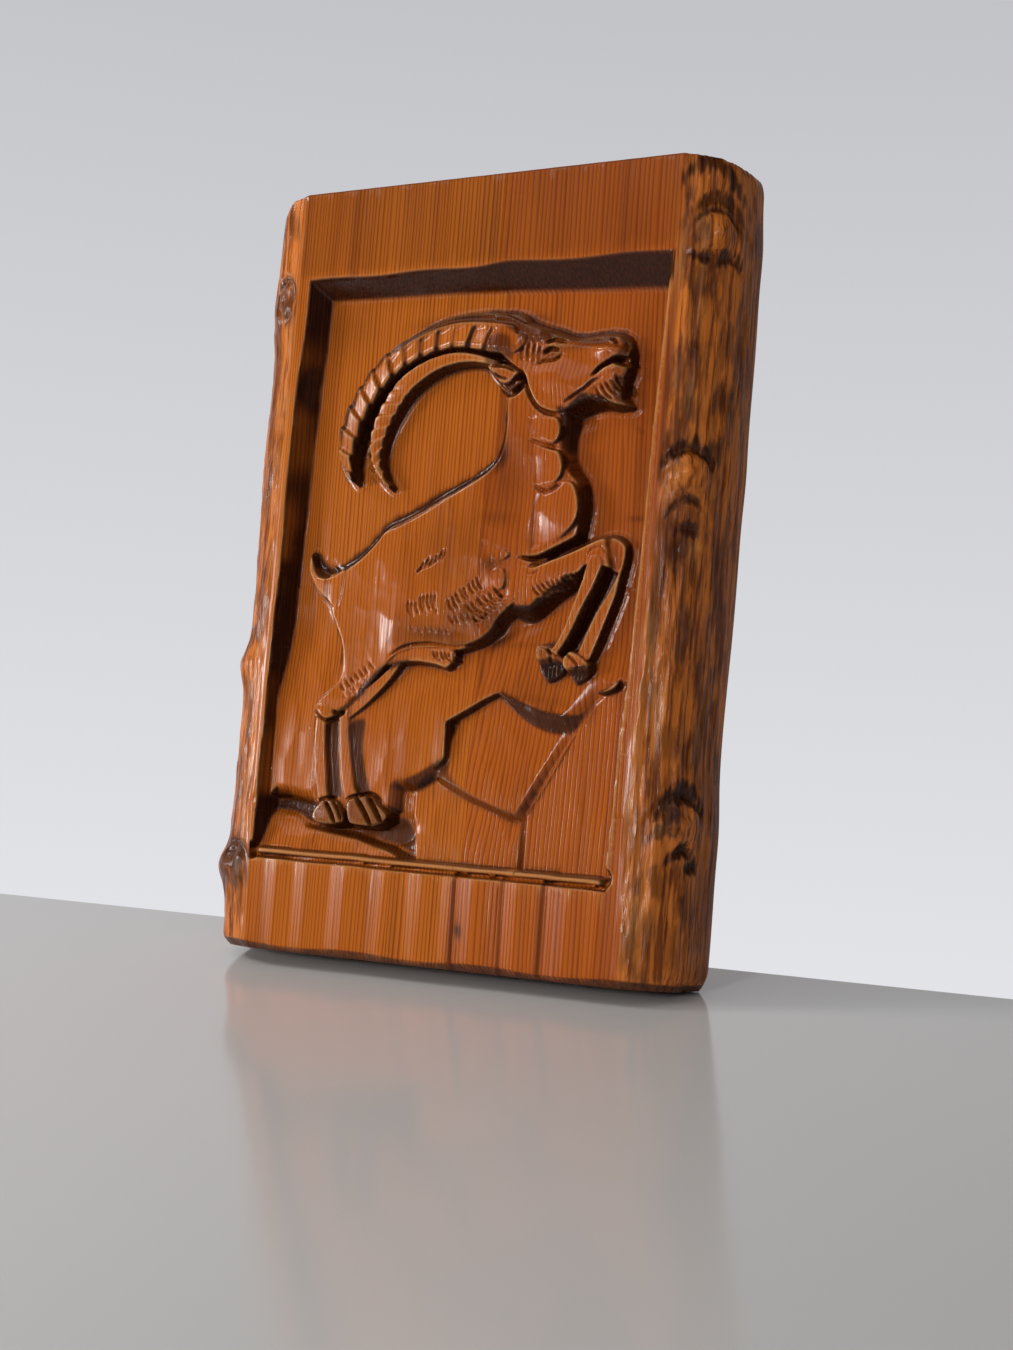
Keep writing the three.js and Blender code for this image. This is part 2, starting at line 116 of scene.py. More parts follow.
# Each wall of the recess runs from its edge on the front face to its foot on the floor.
left_edge = np.interp(
    V, [37, 60, 100, 160, 200, 225, 240, 258], [-90.6, -90.6, -90, -89, -89, -88, -86.5, -86])
left_foot = np.interp(V, [37, 60, 80, 120, 160, 200, 250], [-87.6, -87.5, -88, -86.3, -85.2, -84, -81])
right_edge = np.interp(V, [36, 60, 90, 110, 160, 200, 255], [62.5, 63.5, 64.6, 66.3, 68, 69, 71.5])
top_edge = 264.6 + 0.35 * np.sin(X / 7) + 0.9 * np.exp(-((X - 3) / 9) ** 2)
top_foot = np.interp(X, [-80, -20, 20, 65], [256.8, 256, 254, 251.5])
scallops = gouge_hollows(0 * X, V, 50, 21, 3)
left_edge = left_edge - 0.9 * scallops
left_wall = 1 - (X - left_edge) / (left_foot + 0.8 * scallops - left_edge)
right_wall = (X - right_edge) / 1.6 + 1
top_wall = (V - top_foot) / (top_edge - top_foot)
foot_wall = (38.5 - V) / 2.5
walls = np.maximum.reduce([left_wall, right_wall, top_wall, foot_wall])
carved = recess_depth * np.clip(walls, 0, 1)
on_walls = ease(walls * 6) * ease((1 - walls) * 6)
carved -= on_walls * (0.5 * gouge_hollows(X, V, 9, 9, 5) + 0.12 * swells(X, V, 4, 14, 6))

# The floor is pared flat with a wide gouge along the grain.
on_floor = ease(1 - walls * 4)
carved -= on_floor * (0.3 * gouge_hollows(X, V, 9, 22, 7) + 0.04 * swells(X, V, 2.2, 30, 8))

# Wide shallow hollows run up and down both rails, with soft ridges between them.
ridges = [-93, -79, -65, -47, -29, -13, 1, 9.5, 21, 28, 37.5, 49, 61, 74]
front = walls >= 1
hollow = np.zeros_like(X)
for near, far in zip(ridges[:-1], ridges[1:]):
    share = (X - near + 0.02 * (V - 20) * np.sin(near)) / (far - near)
    lowest, steep = (0.1, 0.13) if near in (1, 21, 37.5) else (0.6, 0.03)
    depth = 0.08 + steep * (far - near)
    hollow += depth * np.clip(np.minimum(share / lowest, (1 - share) / (1 - lowest)), 0, 1)
carved -= np.where(front & (V < 60), blurred(hollow, 0.5), 0)
upper = 0.5 * (1 - np.cos(2 * np.pi * (X + 3 * np.sin(V / 40)) / 13.5))
carved -= np.where(front & (V > 240), 0.07 * upper + 0.05 * swells(X, V, 5, 60, 9), 0)

# A roll lies along the foot of the recess between two cuts, and hooks round at both corners.
foot_line = 38.2 - 0.012 * (X + 90) + 0.25 * swells(X, V, 9, 90, 11)
inside = (X > -91.5) & (X < 63.5)
roll = np.where(inside, 1 - ((V - foot_line) / 1.7) ** 2, 0)
carved = np.where(inside & (V > foot_line - 1.5) & (V < foot_line + 3), np.minimum(carved, 6.4), carved)
carved = np.maximum(carved, 6.2 + 2.2 * np.clip(roll, 0, 1) - 40 * (roll <= 0))
for line, width, depth in ((foot_line - 2.1, 0.9, 2.4), (foot_line + 2.0, 0.6, 1.0)):
    carved -= np.where(inside, depth * np.clip(1 - np.abs(V - line) / width, 0, 1), 0)
for corner_x in (-91.2, 63):
    reach = np.hypot((X - corner_x) / 2.0, (V - 38) / 3.2)
    carved -= 3.0 * ease(1.4 - reach)

# The rock. Ledge over ledge: each face slopes out towards its lower edge and breaks off there in
# a short undercut, which shows dark. The forms are drawn with the fewest points, and a curve
# runs through them.


def curve_through(points, closed, steps=7):
    """A centripetal Catmull-Rom curve."""
    points = np.array(points, float)
    if closed:
        knots = np.concatenate([points[-1:], points, points[:2]])
    else:
        knots = np.concatenate([2 * points[:1] - points[1:2], points, 2 * points[-1:] - points[-2:-1]])
    out = []
    for p0, p1, p2, p3 in zip(knots, knots[1:], knots[2:], knots[3:]):
        t1 = np.linalg.norm(p1 - p0) ** 0.5
        t2 = t1 + np.linalg.norm(p2 - p1) ** 0.5
        t3 = t2 + np.linalg.norm(p3 - p2) ** 0.5
        t = np.linspace(t1, t2, steps, endpoint=False)[:, None]
        a1 = (t1 - t) / t1 * p0 + t / t1 * p1
        a2 = (t2 - t) / (t2 - t1) * p1 + (t - t1) / (t2 - t1) * p2
        a3 = (t3 - t) / (t3 - t2) * p2 + (t - t2) / (t3 - t2) * p3
        b1 = (t2 - t) / t2 * a1 + t / t2 * a2
        b2 = (t3 - t) / (t3 - t1) * a2 + (t - t1) / (t3 - t1) * a3
        out.append((t2 - t) / (t2 - t1) * b1 + (t - t1) / (t2 - t1) * b2)
    return np.concatenate(out + ([] if closed else [points[-1:]]))


def window(points, margin):
    """The stretch of the sheet around some points."""
    low, high = points.min(axis=0) - margin, points.max(axis=0) + margin
    cols = np.clip(np.searchsorted(across, [low[0], high[0]]), 0, len(across))
    rows = np.clip(np.searchsorted(upward, [low[1], high[1]]), 0, len(upward))
    return slice(*rows), slice(*cols)


def inside_distance(outline, x, v):
    """How far each place lies inside a closed outline, negative outside it."""
    nearest = np.full(x.shape, 1e9)
    within = np.zeros(x.shape, bool)
    for (x0, v0), (x1, v1) in zip(outline, np.roll(outline, -1, axis=0)):
        dx, dv = x1 - x0, v1 - v0
        share = np.clip(((x - x0) * dx + (v - v0) * dv) / (dx * dx + dv * dv + 1e-9), 0, 1)
        nearest = np.minimum(nearest, (x - x0 - share * dx) ** 2 + (v - v0 - share * dv) ** 2)
        if v0 != v1:
            within ^= ((v0 > v) != (v1 > v)) & (x < dx * (v - v0) / dv + x0)
    return np.where(within, 1, -1) * np.sqrt(nearest)


def rounded_rise(inset, sunny, shaded):
    """Share of a form's height. Edges that face up and left round off over sunny millimetres, and
    edges that face down and right drop in a plain slope over shaded millimetres."""
    slope_v, slope_x = np.gradient(inset, pitch)
    faces_down = ease((0.25 - 0.31 * slope_x + 0.39 * slope_v) / 0.5)
    run_in = sunny + (shaded - sunny) * faces_down
    share = np.clip((inset + 0.3) / (run_in + 0.3), 0, 1)
    return 1 - (1 - share) ** (1.5 - 0.2 * faces_down)


def merge(area, form, blend):
    """The higher of the form and what is carved there, with a soft crease between."""
    held = carved[area]
    mix = np.clip(0.5 + 0.5 * (form - held) / blend, 0, 1)
    carved[area] = held + (form - held) * mix + blend * mix * (1 - mix)


def add_form(outline, top, sunny=2.0, shaded=0.9, closed=True, blend=0.3):
    """Raises a form with that outline; top and shaded are numbers, or functions of the place."""
    line = curve_through(outline, closed) if closed else np.array(outline, float)
    area = window(line, 3)
    x, v = X[area], V[area]
    inset = inside_distance(line, x, v)
    run = shaded(x, v) if callable(shaded) else shaded
    level = top(x, v) if callable(top) else top
    merge(area, np.where(inset > -2, rounded_rise(inset, sunny, run) * level, -5), blend)


def hump(x, v, at, reach, amount, turn=0.0):
    """A smooth rise or, with a negative amount, a hollow."""
    c, s = math.cos(math.radians(turn)), math.sin(math.radians(turn))
    dx, dv = x - at[0], v - at[1]
    return amount * np.exp(-((dx * c + dv * s) / reach[0]) ** 2 - ((dv * c - dx * s) / reach[1]) ** 2)


def plateau_top(x, v):
    rise = 0.4 + 4.8 * ease((132 - v) / 50) - 0.8 * ease((x - 15) / 30)
    return rise - 0.5 * gouge_hollows(x, v, 9, 20, 20) + 0.12 * swells(x, v, 4, 20, 21)


def slab_top(x, v):
    return 0.4 + 4.2 * ease((104 - v) / 52) - 0.3 * gouge_hollows(x + 0.4 * v, v, 13, 18, 22)


def block_top(x, v):
    return 0.3 + 2.8 * ease((74 - v) / 36) - 0.45 * gouge_hollows(x, v, 11, 17, 23)


def field_top(x, v):
    return 0.8 + 1.6 * ease((110 - v) / 80) - 0.3 * gouge_hollows(x, v, 12, 26, 24)


def bank_top(x, v):
    return 1.6 + 4.4 * ease((56 - v) / 20) - 0.4 * gouge_hollows(x, v, 12, 9, 25)


def plateau_run(x, v):
    """The break under the plateau is wide in its right half, under the ibex's chest."""
    low = 3.6 * ease((78 - v) / 5) * ease((-8 - x) / 4)
    return 1.3 + 5.0 * ease((x - 12) / 12) * ease((56 - x) / 6) * ease((v - 84) / 3) + low


field = [(25, 36), (66, 36), (68, 112), (57, 106), (50, 100), (44, 91), (33, 74), (25, 59)]
block = [
    (-20, 36), (24.6, 36), (24.4, 47), (24.2, 57), (14, 59), (0, 64), (-6, 68), (-12, 74.5), (-24, 66.5),
    (-23.5, 54)]
slab = [
    (-15, 69.5), (-10, 66.6), (0, 62.2), (10, 58.8), (19, 55.6), (23.8, 55.6), (27, 61), (33.6, 74),
    (41.4, 89), (38, 99), (14, 106), (-6, 94),
]
plateau = [
    (-89, 58.6), (-80, 59.6), (-70, 58), (-64, 53), (-36, 51), (-28.4, 57), (-28.4, 64.6), (-22, 65.2),
    (-15, 69.4), (-9.6, 72.4), (-8.6, 78), (-8.8, 84), (-9.2, 90.6), (-0.9, 95.4), (5.1, 99.2),
    (10.4, 101.8), (13.3, 99.6), (19.1, 95.1), (26.2, 91.2), (33.2, 89.2), (40.2, 88.8), (45.2, 94),
    (50.6, 102.6), (56, 106.6), (69, 108.4), (72, 140), (-90, 140)]
bank = [
    (-93, 34), (-19, 34), (-20.5, 39.5), (-32, 43.5), (-46, 46.6), (-58, 48.4), (-69.8, 49.8),
    (-77.8, 53.4), (-85.9, 54), (-92, 51.8)]
for outline, top, run in (
    (field, field_top, 0.8), (block, block_top, 0.9), (slab, slab_top, 3.4),
    (plateau, plateau_top, plateau_run),
):
    add_form(outline, top, sunny=1.2, shaded=run, closed=False, blend=0.25)
add_form(bank, bank_top, sunny=2.2, shaded=1.2, closed=False)
ledge = [(50.6, 104.4), (55, 106), (60.4, 109.4), (61, 106.4), (58.6, 104.2), (54, 103)]
add_form(ledge, 3.4, sunny=1.0, shaded=2.2)

# The ibex rears up to the right. Its trunk and neck stand nearly as high as the rim, with flat
# gouged planes over the muscles, and its edges are cut steeply on the shaded side.
trunk = [
    (5.5, 222), (4.6, 214), (4.6, 203), (3.4, 194), (0.4, 188.6), (-5, 184.6), (-12, 180.8),
    (-20, 176.8), (-30, 171.3), (-38, 167.6), (-45, 164.8), (-48.6, 160.5), (-52.4, 156.5),
    (-57.5, 152.3), (-63, 149.4), (-69, 148.2), (-69.5, 138), (-67, 132), (-64.5, 127), (-61.5, 121),
    (-60.3, 115), (-60.8, 108), (-65, 102.5), (-69.6, 98), (-71, 94), (-68, 90.6), (-62, 89), (-57, 91),
    (-52, 95.4), (-46, 101.5), (-41, 107), (-37, 111.5), (-32, 116), (-22, 118), (-12, 118), (-6, 117.2),
    (-0.6, 118.7), (4.5, 120.9), (9.5, 125.2), (11.6, 128.8), (14.6, 131.3), (20, 137), (22.5, 147),
    (30, 154.2), (36, 157.4), (40.6, 160.4), (41.9, 165.9), (42.4, 173), (41.1, 181), (37.8, 185.1),
    (35.3, 191.1), (35, 198.2), (36, 204), (33, 209), (24, 213), (14, 221)]


def trunk_top(x, v):
    top = 6.3 + hump(x, v, (4, 160), (15, 17), 1.2) + hump(x, v, (-20, 140), (24, 13), 0.8, 14)
    top += hump(x, v, (-33, 127), (7, 12), 1.1, -14) + hump(x, v, (-37, 152), (8, 10), 0.6, -20)
    top += hump(x, v, (12, 176), (10, 14), -0.7) + hump(x, v, (22, 196), (7, 14), 0.9)
    top += hump(x, v, (-57, 104), (7, 9), -0.5, 30) + hump(x, v, (-30, 168), (22, 7), -0.8, 22)
    top += hump(x, v, (30, 170), (9, 9), 0.9) + hump(x, v, (5, 196), (5, 12), -1.0)
    top += 1.2 * ease((-v + 100) / 8) + hump(x, v, (-64, 94), (5, 4), 0.8)
    top -= 0.34 * gouge_hollows(x + 0.3 * v, v - 0.2 * x, 12, 11, 31) + 0.1 * gouge_hollows(x, v, 4, 5, 33)
    return top + 0.05 * swells(x, v, 1.6, 12, 32)


def trunk_run(x, v):
    front = ease((x - 22) / 6)
    return 1.3 + front * (3.4 * ease((v - 170) / 22)) + (1 - front) * 1.6 * ease((x + 12) / 14)


add_form(trunk, trunk_top, sunny=2.6, shaded=trunk_run)
tail = [
    (-60, 150.2), (-65, 148), (-70, 146.8), (-74, 147.6), (-76.4, 150.4), (-77.6, 155.4), (-79.6, 156.2),
    (-80.6, 152.4), (-80.4, 148.6), (-77.8, 144), (-74, 139.8), (-68.5, 136), (-62, 132),
]
add_form(tail, lambda x, v: 3.4 + 3.0 * ease((x + 80) / 16), sunny=1.8, shaded=1.2)


def lengths_along(line):
    """How far along the line each of its points lies."""
    return np.concatenate([[0], np.cumsum(np.linalg.norm(np.diff(line, axis=0), axis=1))])


def beside(line, x, v):
    """How far each place lies from the line, how far along it, and on which side of it."""
    length = lengths_along(line)
    nearest = np.full(x.shape, 1e9)
    place, side = np.zeros(x.shape), np.zeros(x.shape)
    for k, ((x0, v0), (x1, v1)) in enumerate(zip(line[:-1], line[1:])):
        dx, dv = x1 - x0, v1 - v0
        share = np.clip(((x - x0) * dx + (v - v0) * dv) / (dx * dx + dv * dv + 1e-9), 0, 1)
        off = np.hypot(x - x0 - share * dx, v - v0 - share * dv)
        closer = off < nearest
        place = np.where(closer, length[k] + share * (length[k + 1] - length[k]), place)
        side = np.where(closer, np.sign((v - v0) * dx - (x - x0) * dv), side)
        nearest = np.where(closer, off, nearest)
    return nearest, place, side, length[-1]


def cut(path, width, depth, blunt=1.0):
    """A V-shaped gouge cut along a curve. It runs out thin at both ends, or stays wide if blunt
    is small."""
    line = curve_through(path, False)
    area = window(line, 4)
    nearest, place, _, length = beside(line, X[area], V[area])
    taper = np.clip(np.sin(np.pi * np.clip(place / length, 0.02, 0.98)) * 1.6, 0, 1) ** blunt
    carved[area] -= depth * taper * np.clip(1 - nearest / (width / 2 * (0.35 + 0.65 * taper)), 0, 1)


def cut_row(first, step, count, run, width, depth, sway=0.0):
    """A row of like cuts, each a step on from the last and a little unlike it."""
    for k in range(count):
        wander = sway * math.sin(2.7 * k + first[0])
        x0, v0 = first[0] + step[0] * k, first[1] + step[1] * k + 0.4 * wander
        x1, v1 = x0 + run[0] + wander, v0 + run[1] * (1 + 0.12 * math.sin(1.9 * k))
        middle = ((x0 + x1) / 2 + 0.12 * run[1], (v0 + v1) / 2 - 0.12 * run[0])
        cut([(x0, v0), middle, (x1, v1)], width, depth)


def fold(outline, amount):
    """A fold of hide: a plane that rises to the right and ends there in a sharp edge."""
    line = curve_through(outline, True)
    area = window(line, 2)
    x, v = X[area], V[area]
    inset = inside_distance(line, x, v)
    share = np.clip((x - line[:, 0].min()) / np.ptp(line[:, 0]), 0, 1)
    carved[area] += amount * (share - 0.38) * ease(inset / (3.2 - 2.5 * share))


# The neck's front is cut in three folds, one above the other, and the shoulder in two.
fold([
    (16, 207), (24, 206.4), (29.5, 205), (31.4, 199), (29, 195), (22, 196.4), (17.5, 199.5),
    (15.5, 203)], 3.0)
fold([
    (17.6, 198), (26, 194.5), (31.6, 192), (33.4, 185.5), (31.5, 181), (25, 178.8), (20.5, 180.4),
    (18, 188)], 3.2)
fold([
    (23, 179.5), (31, 182), (37.4, 181), (41, 174), (41, 167), (36, 160.8), (28, 157), (20.6, 155.6),
    (19.6, 166)], 3.6)
fold([
    (-1.5, 158.6), (0.5, 160.2), (5, 159.6), (9, 157.3), (13.6, 154), (9, 150.6), (5.6, 151.2), (2, 154),
    (-1, 156.6)], 1.8)
fold([(-2, 141.8), (0.6, 144.6), (8, 149.8), (11.6, 148.6), (12, 141.4), (7, 140), (3, 140.4)], 2.0)
fold([
    (-11, 139), (-4, 141), (3, 139.6), (12, 138.8), (17, 137), (12.5, 132), (8, 127), (1, 123),
    (-8, 122.4), (-12, 130)], 1.4)
for path in ([(19.5, 180.6), (26, 177.6), (33.8, 180.6)], [(17, 197.6), (23, 195.2), (31, 193)]):
    cut(path, 2.2, 1.5)


def add_limb(path, half_widths, tops, sunny=2.0, shaded=0.8, shape=None, blend=0.3):
    """Raises a leg or a horn along a curve; shape adds what repeats along it."""
    line = curve_through(path, False)
    area = window(line, max(half_widths) + 4)
    nearest, place, side, length = beside(line, X[area], V[area])
    share = place / length
    corners = lengths_along(np.array(path, float))
    half = np.interp(share, corners / corners[-1], half_widths)
    level = np.interp(share, np.linspace(0, 1, len(tops)), tops)
    if shape:
        level = level + shape(place, side * nearest / half, length)
    form = rounded_rise(half - nearest, sunny, shaded) * level
    merge(area, np.where(half - nearest > -2, form, -5), blend)


# The belly hair hangs in a tuft that ends in a point between the hind leg and the chest.
tuft = [
    (-40.4, 110.6), (-36, 116.4), (-28, 119.2), (-18, 119.8), (-8, 118.6), (-7, 115), (-10.6, 110.4),
    (-16, 111.4), (-24, 112.4), (-31, 112),
]
add_form(tuft, 5.6, sunny=1.4, shaded=1.4)
cut([(-37, 115), (-30, 119), (-20, 120.4), (-8, 119.4), (0, 120.4)], 1.8, 1.6, 0.5)

# Head. Flat planes: a dark bevel along the nose and brow, a full cheek, a cut mouth, a small eye
# under a wrinkled brow, and a pointed beard of fine cuts. The ear lies back like a leaf.
head = [
    (-2, 247), (3, 247.2), (8, 245.6), (13, 243.2), (20, 240.6), (25, 239), (30, 237), (34, 236.2),
    (42, 236.9), (48, 237), (52, 236.2), (55, 234.2), (56.6, 231), (57, 226), (56.6, 221), (55, 216.6),
    (55, 212.5), (57.8, 208.3), (53, 207.6), (47, 208.2), (41, 207.4), (36.5, 205.8), (30, 205),
    (24, 207), (19.5, 209), (16.4, 212.5), (13.8, 217), (11.5, 222), (5, 227), (-1, 233), (-3, 240)]


def head_top(x, v):
    top = 7.2 + hump(x, v, (29, 219), (10, 6), 1.3, -24) + hump(x, v, (48, 229.5), (4.5, 3.4), 1.3)
    top += hump(x, v, (19, 229), (8, 4.4), -1.1) + hump(x, v, (37, 226), (6, 5), -0.7)
    top += hump(x, v, (22, 235.5), (8, 1.6), 0.7, -10)
    nose = ease((v - 231.5 - 0.12 * (30 - x)) / 3) * ease((x - 18) / 6)
    beard = ease((45.5 - x + 1.1 * (220 - v)) / -3 + 4.2) * ease((218.5 - v) / 3) * ease((x - 40) / 3)
    front = 1.6 * ease((x - 50.5) / 6)
    top -= 1.8 * nose + 0.9 * beard + front + 0.3 * gouge_hollows(x, v, 6, 6, 35)
    return top


def head_run(x, v):
    return 1.2 + hump(x, v, (40, 208), (9, 9), 4.6)


add_form(head, head_top, sunny=2.4, shaded=head_run)
cut([(12.2, 224), (14.4, 217.4), (17, 212.4), (20.4, 208.8), (25, 206.8), (29, 206.6)], 2.2, 1.9, 0.4)
cut([(30.6, 210), (35, 212.6), (39, 215), (42.6, 218), (46.6, 219.4)], 1.8, 1.5, 0.6)
cut([(41.8, 220), (45, 222.9), (48, 224.4), (52, 225.8), (56.5, 226.2)], 2.2, 3.0, 0.5)
cut([(50.5, 225.6), (54, 224.6), (57, 224)], 3.6, 3.0, 0.3)
cut([(52, 219.6), (54.5, 216.5), (57, 214)], 3.0, 1.8, 0.3)
cut_row((43, 216.8), (2.1, 0.75), 5, (6.2, -6.4), 1.2, 1.4, 0.3)
cut([(47.4, 233.6), (49.6, 233.2), (51.2, 231.4)], 1.6, 1.6)
cut([(53.5, 233), (55, 230), (55, 227.5)], 1.6, 1.2)
cut([(20.4, 233), (25, 234.6), (31, 233.4)], 1.8, 1.7)
cut([(16.6, 225.4), (21.5, 226.8), (26, 227), (30, 229.6)], 1.8, 1.7)
cut([(19.8, 229.4), (23.8, 231.2), (28, 230.2)], 2.2, 2.4)
carved += hump(X, V, (27.6, 232), (2.4, 0.8), 0.9, 14) + hump(X, V, (48.6, 232.9), (1.3, 0.6), 0.7, -35)
carved += hump(X, V, (49.8, 222.4), (3.2, 1.3), 0.8, 14)
for x0, v0, v1 in ((12.4, 234, 227), (14.8, 234.4, 226.5), (17.2, 234.2, 225.6), (19.4, 233, 226.2)):
    cut([(x0, v0), (x0 - 0.9, (v0 + v1) / 2), (x0 - 0.5, v1)], 1.6, 1.2, 0.6)
cut([(-1, 222), (3, 217.4), (8, 215.4), (12, 218), (13.4, 221)], 3.6, 3.2, 0.6)
ear = [
    (-3.4, 226), (1.6, 227.2), (6.6, 226.4), (10, 224.8), (12.6, 222), (10.8, 220.4), (8.8, 218.2),
    (6, 217.6), (3, 219), (0, 222), (-2.6, 224.8),
]
add_form(ear, 8.4, sunny=1.0, shaded=0.9)
cut([(-1.6, 225.6), (2.6, 225.4), (7, 224.6), (11, 222.4)], 1.5, 2.0, 0.7)
cut([(0, 223.6), (3.6, 221.2), (8, 220)], 1.2, 1.6, 0.7)

# Horns. Both sweep back in a long arc. The near one has a smooth dark back and a row of knobs cut
# with the gouge; the far one lies lower, with rings near its tip. The gap between is cut deep.
near_horn = [
    (6, 238), (-8, 240), (-17, 240.4), (-26.2, 238.8), (-35.9, 235.2), (-44.6, 230.5), (-51.8, 223.9),
    (-57.8, 215.8), (-61.9, 208.3), (-64, 200.8), (-64.4, 193), (-62.9, 188), (-60.6, 183.4),
]
far_horn = [
    (0, 227.4), (-10, 229.8), (-17.8, 230.2), (-26.4, 228.5), (-33.5, 225.2), (-40.3, 220.3),
    (-46.6, 211.8), (-50, 204.6), (-51.4, 198), (-51, 191), (-48.2, 185.5), (-44.3, 181)]


def near_knobs(place, side, length):
    """Knobs on the inner two thirds; the back stays smooth until the horn narrows."""
    late = ease((place / length - 0.36) / 0.2)
    back = -side
    turn = (place + 2.2 * back - 1.0) / 7.9
    share = turn - np.floor(turn)
    knob = np.where(share < 0.8, 1 - share / 0.8, (share - 0.8) / 0.2)
    size = 0.75 + 0.3 * np.sin(2.3 * np.floor(turn)) + 0.5 * late
    spread = size * ease((0.3 - back) / 0.3)
    spread = spread + (1 - spread) * late
    bevel = -2.6 * ease((back - 0.28) / 0.3) * (1 - 0.75 * late) - 1.0 * ease((-back - 0.6) / 0.4)
    return -1.7 * (1 - knob) * spread * ease((place - 3) / 5) + bevel


def far_rings(place, side, length):
    late = ease((place / length - 0.42) / 0.2)
    turn = (place + 2.6 * side) / 5.2
    share = turn - np.floor(turn)
    ring = np.where(share < 0.8, 1 - share / 0.8, (share - 0.8) / 0.2)
    return -1.1 * (1 - ring) * (0.12 + 0.88 * late) - 0.7 * side * side


far_widths = [1.6, 2.3, 3, 3.5, 4, 4.3, 4.4, 4.2, 3.7, 2.6, 1.8, 0.9]
near_widths = [8.6, 8, 7.2, 7, 6.1, 5.7, 5.5, 5.4, 5.2, 5, 3.7, 2.4, 0.9]
add_limb(far_horn, far_widths, [6.2, 6.4, 6.4, 5.4], 1.0, 0.5, far_rings)
add_limb(near_horn, near_widths, [8.4, 8.6, 8.6, 7.4], 1.2, 0.5, near_knobs)
cut([
    (0, 230), (-8, 232.2), (-17, 233.2), (-25, 232.3), (-33, 229.7), (-40, 226.2), (-46, 221.6),
    (-51, 215.2), (-56, 207.5), (-59, 200), (-60, 192), (-59.5, 185)], 1.6, 1.6, 0.3)
for x0, v0 in ((-58, 196), (-57.4, 191), (-56, 187), (-54.6, 193)):
    cut([(x0, v0), (x0 + 1.2, v0 - 2.2), (x0 + 3, v0 - 3.4)], 1.4, 1.0, 0.6)

# Forelegs. The near one is folded at the knee, with a fringe of hair cut along its lower edge; the
# far one shows behind it. The wood below the arm is hollowed deep.
upper_leg = [
    (13, 146), (17, 150.8), (24, 151.3), (30, 153.2), (37, 155.8), (43, 158.3), (48, 160.4), (53, 161.6),
    (57, 160.6), (59.6, 158), (60.2, 154), (59.3, 149.4), (56.6, 147), (53.6, 148.5), (50, 149.5),
    (45.2, 149.6), (42, 145.5), (37.8, 140.9), (34.8, 138.8), (29.7, 135.3), (25.7, 131.8),
    (21.6, 129.8), (16.6, 131.2), (12, 132)]
cut([(17, 153), (24, 152.6), (31, 155.4), (38, 158.4), (44, 160.2)], 2.6, 3.2, 0.5)


def upper_leg_top(x, v):
    far_side = ease((x + 0.25 * (v - 150) - 53.5) / 2.5)
    lift = hump(x, v, (27, 146), (10, 6), 0.9, 20) + hump(x, v, (50, 154), (4, 4), 0.6)
    return 6.6 + lift - 2.2 * far_side - 0.3 * gouge_hollows(x, v, 6, 7, 36)


def upper_leg_run(x, v):
    return 0.8 + 4.2 * ease((44 - x) / 8) * ease((150 - v) / 4)


far_shin = [(58.8, 151), (57, 145), (55.2, 139.5), (52, 132.5), (48.6, 124.5), (46, 118)]
near_shin = [(49, 150), (46.7, 143), (43.7, 136), (40.2, 127.5), (37, 121.5), (34.5, 118)]
add_limb(far_shin, [1, 1.6, 2.4, 3.2, 3.6, 3.6], [4.4, 4.8, 4.6], 1.2, 0.8)
add_form(upper_leg, upper_leg_top, sunny=1.8, shaded=upper_leg_run)
add_limb(near_shin, [4.6, 4.2, 3.6, 3.2, 3, 2.8], [7.4, 7.2, 6.4], 1.6, 2.0)
near_fore_hoof = [
    (26.5, 120.8), (31, 121), (35, 119.5), (38.5, 115.5), (38, 111), (36, 109), (31.5, 107), (28.5, 110),
    (27, 113.5)]
far_fore_hoof = [
    (37, 115.5), (40, 119.2), (44.5, 118), (49.5, 113.5), (48, 109.5), (43, 106.6), (40.5, 109),
    (38, 112)]


def far_hoof_top(x, v):
    return 5.8 - 2.6 * ease((113 - v) / 3)


def near_hoof_top(x, v):
    return 6.6 - 3.0 * ease((116 - v + 0.2 * (x - 27)) / 4)


add_form(far_fore_hoof, far_hoof_top, sunny=1.0, shaded=0.9)
add_form(near_fore_hoof, near_hoof_top, sunny=1.0, shaded=0.9)
cut([(26.8, 119.8), (30.5, 119.8), (33.4, 117.6), (37.5, 115.6)], 1.4, 1.4, 0.5)
cut([(31, 120), (33, 117), (32.5, 112)], 1.2, 1.0, 0.6)
cut([(38.4, 118), (41.4, 116), (43.8, 113.6), (43.4, 111)], 1.3, 1.4, 0.5)
cut_row((23.6, 142.6), (1.9, 0.62), 10, (4.4, -4.0), 1.1, 1.3, 0.3)
cut([(44.6, 151.6), (46.6, 155.6), (50.6, 156.8), (53.4, 153.6)], 1.0, 0.8)

# Hind legs. The near one runs from the hock straight down to its hoof; the far one shows behind,
# thigh, cannon and hoof. Each hoof is split by a deep cut.
far_thigh = [(-55, 93), (-48, 98), (-42, 103), (-37, 108), (-33, 112.5)]
far_cannon = [(-54.6, 92), (-53.4, 84), (-51.8, 74), (-49.4, 64), (-47, 59)]
near_cannon = [(-64, 93), (-63.7, 82), (-62.5, 71), (-60.4, 61), (-59.4, 56)]
add_limb(far_thigh, [3.6, 3.4, 3, 2.6, 1.8], [5.6, 5.8, 5.4], 1.0, 0.8)
add_limb(far_cannon, [4.4, 4.6, 4.8, 4.8, 5], [6.2, 6.4, 6.8], 1.8, 3.6)
add_limb(near_cannon, [4.6, 5.0, 5.2, 4.8, 4.6], [7.6, 7.4, 7.4], 1.8, 4.2)
near_hind_hoof = [
    (-66, 55), (-62, 58.8), (-56, 60), (-52.5, 57), (-49.8, 51.5), (-55, 49.4), (-62, 49.3), (-66, 51.5)]
